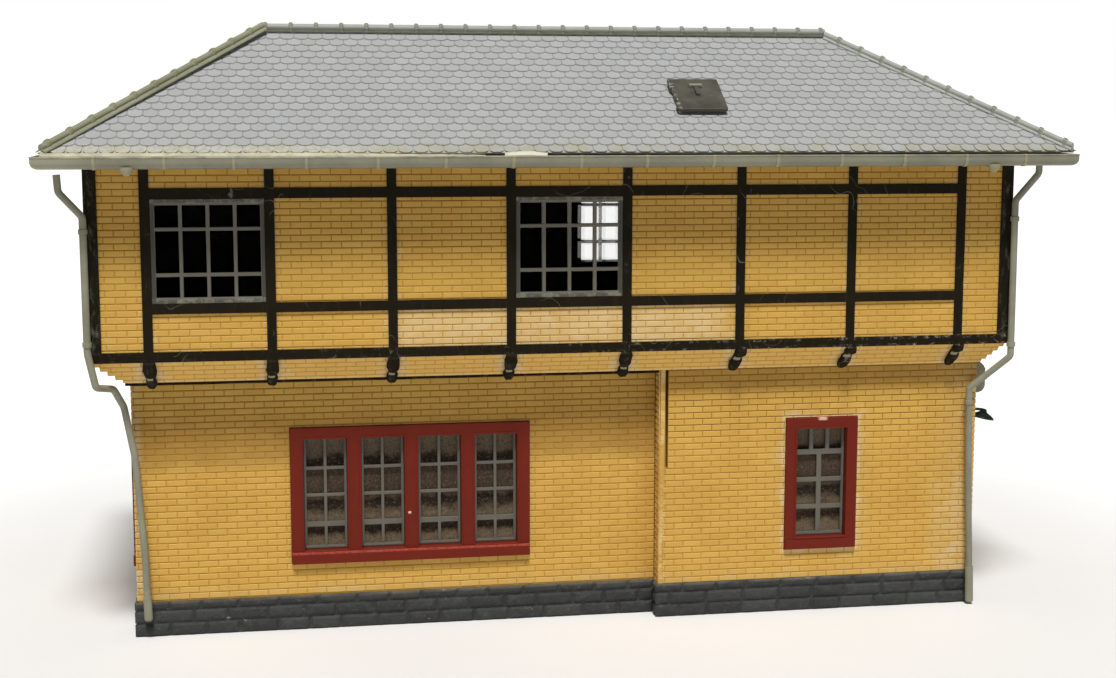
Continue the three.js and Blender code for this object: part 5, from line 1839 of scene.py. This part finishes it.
# ------------------------------------------------------------------ stage, light and camera
FLOOR_HALF = 6.0                             # in metres
WORLD_LIGHT, WORLD_COLOUR = 0.12, (0.97, 0.985, 1.0, 1)
KEY_LIGHT, KEY_COLOUR, KEY_SPREAD = 3.05, (1.0, 0.985, 0.96), math.radians(13)
KEY_PLACE = Vector((-0.05, -0.42, 0.9))      # in metres; the light looks at the origin
CAMERA_PLACE = Vector((-43.7312, -288.2718, 84.7804))
CAMERA_LENS, CAMERA_SENSOR = 54.742, 36.0
CAMERA_SHIFT = (-0.02166, -0.01246)
YAW, DIP, ROLL = 0.1728, 0.1323, 0.0028      # radians: to the right, downwards, about the view


def floor():
    mesh = bpy.data.meshes.new("floor")
    half = FLOOR_HALF
    mesh.from_pydata([(-half, -half, 0), (half, -half, 0), (half, half, 0), (-half, half, 0)],
                     [], [(0, 1, 2, 3)])
    obj = link("floor", mesh)
    mat = Material("floor_paper")
    blotches = mat.noise(size=40.0, detail=3, rough=0.5, seed=200)
    distance = mat.math("SQRT", mat.add(mat.mul(mat.x, mat.x), mat.mul(mat.y, mat.y)))
    far = mat.fade(distance, span=(75.0, 200.0), to=(0.0, 0.3))
    # the glow whitens the paper to the camera and lights nothing
    glow = mat.mul(far, mat.node("LightPath").outputs["Is Camera Ray"])
    mat.shades(by=blotches, low=(240, 240, 240), high=(245, 245, 245))
    mesh.materials.append(mat.finish(rough=0.85, specular=0.1, Emission_Strength=glow,
                                     Emission_Color=(1.0, 1.0, 1.0, 1.0)))


def world():
    """White to the camera, faint cool light to everything else."""
    studio = bpy.data.worlds.new("studio")
    bpy.context.scene.world = studio
    studio.use_nodes = True
    nodes, links = studio.node_tree.nodes, studio.node_tree.links
    nodes.clear()
    mixer = nodes.new("ShaderNodeMixShader")
    path = nodes.new("ShaderNodeLightPath")
    links.new(path.outputs["Is Camera Ray"], mixer.inputs[0])
    for i, (colour, strength) in enumerate(((WORLD_COLOUR, WORLD_LIGHT), ((1, 1, 1, 1), 1.0))):
        background = nodes.new("ShaderNodeBackground")
        background.inputs[0].default_value = colour
        background.inputs[1].default_value = strength
        links.new(background.outputs[0], mixer.inputs[1 + i])
    output = nodes.new("ShaderNodeOutputWorld")
    links.new(mixer.outputs[0], output.inputs[0])


def key_light():
    sun = bpy.data.lights.new("key", "SUN")
    sun.energy, sun.angle, sun.color = KEY_LIGHT, KEY_SPREAD, KEY_COLOUR
    obj = link("key", sun)
    obj.location = KEY_PLACE
    obj.rotation_mode = "QUATERNION"
    obj.rotation_quaternion = (-KEY_PLACE).to_track_quat("-Z", "Y")


def camera():
    data = bpy.data.cameras.new("camera")
    data.sensor_width, data.lens = CAMERA_SENSOR, CAMERA_LENS
    data.shift_x, data.shift_y = CAMERA_SHIFT
    data.clip_start, data.clip_end = 0.01, 50
    obj = link("camera", data)
    forward = Vector((math.sin(YAW) * math.cos(DIP), math.cos(YAW) * math.cos(DIP),
                      -math.sin(DIP)))
    level = Vector((math.cos(YAW), -math.sin(YAW), 0))
    upright = level.cross(forward)
    across = level * math.cos(ROLL) + upright * math.sin(ROLL)
    up = -level * math.sin(ROLL) + upright * math.cos(ROLL)
    placing = Matrix((across, up, -forward)).transposed().to_4x4()
    placing.translation = CAMERA_PLACE * MM
    obj.matrix_world = placing
    bpy.context.scene.camera = obj
    bpy.context.scene.view_settings.view_transform = "Standard"


for build in (plinth, lower_walls, jetty_cove, jetty_soffit, jetty_console, upper_walls, timbers,
              lower_windows, upper_inserts, entrance, lamp, pipes, roof, caps, gutter, hatch,
              kept, floor, world, key_light, camera):
    build()
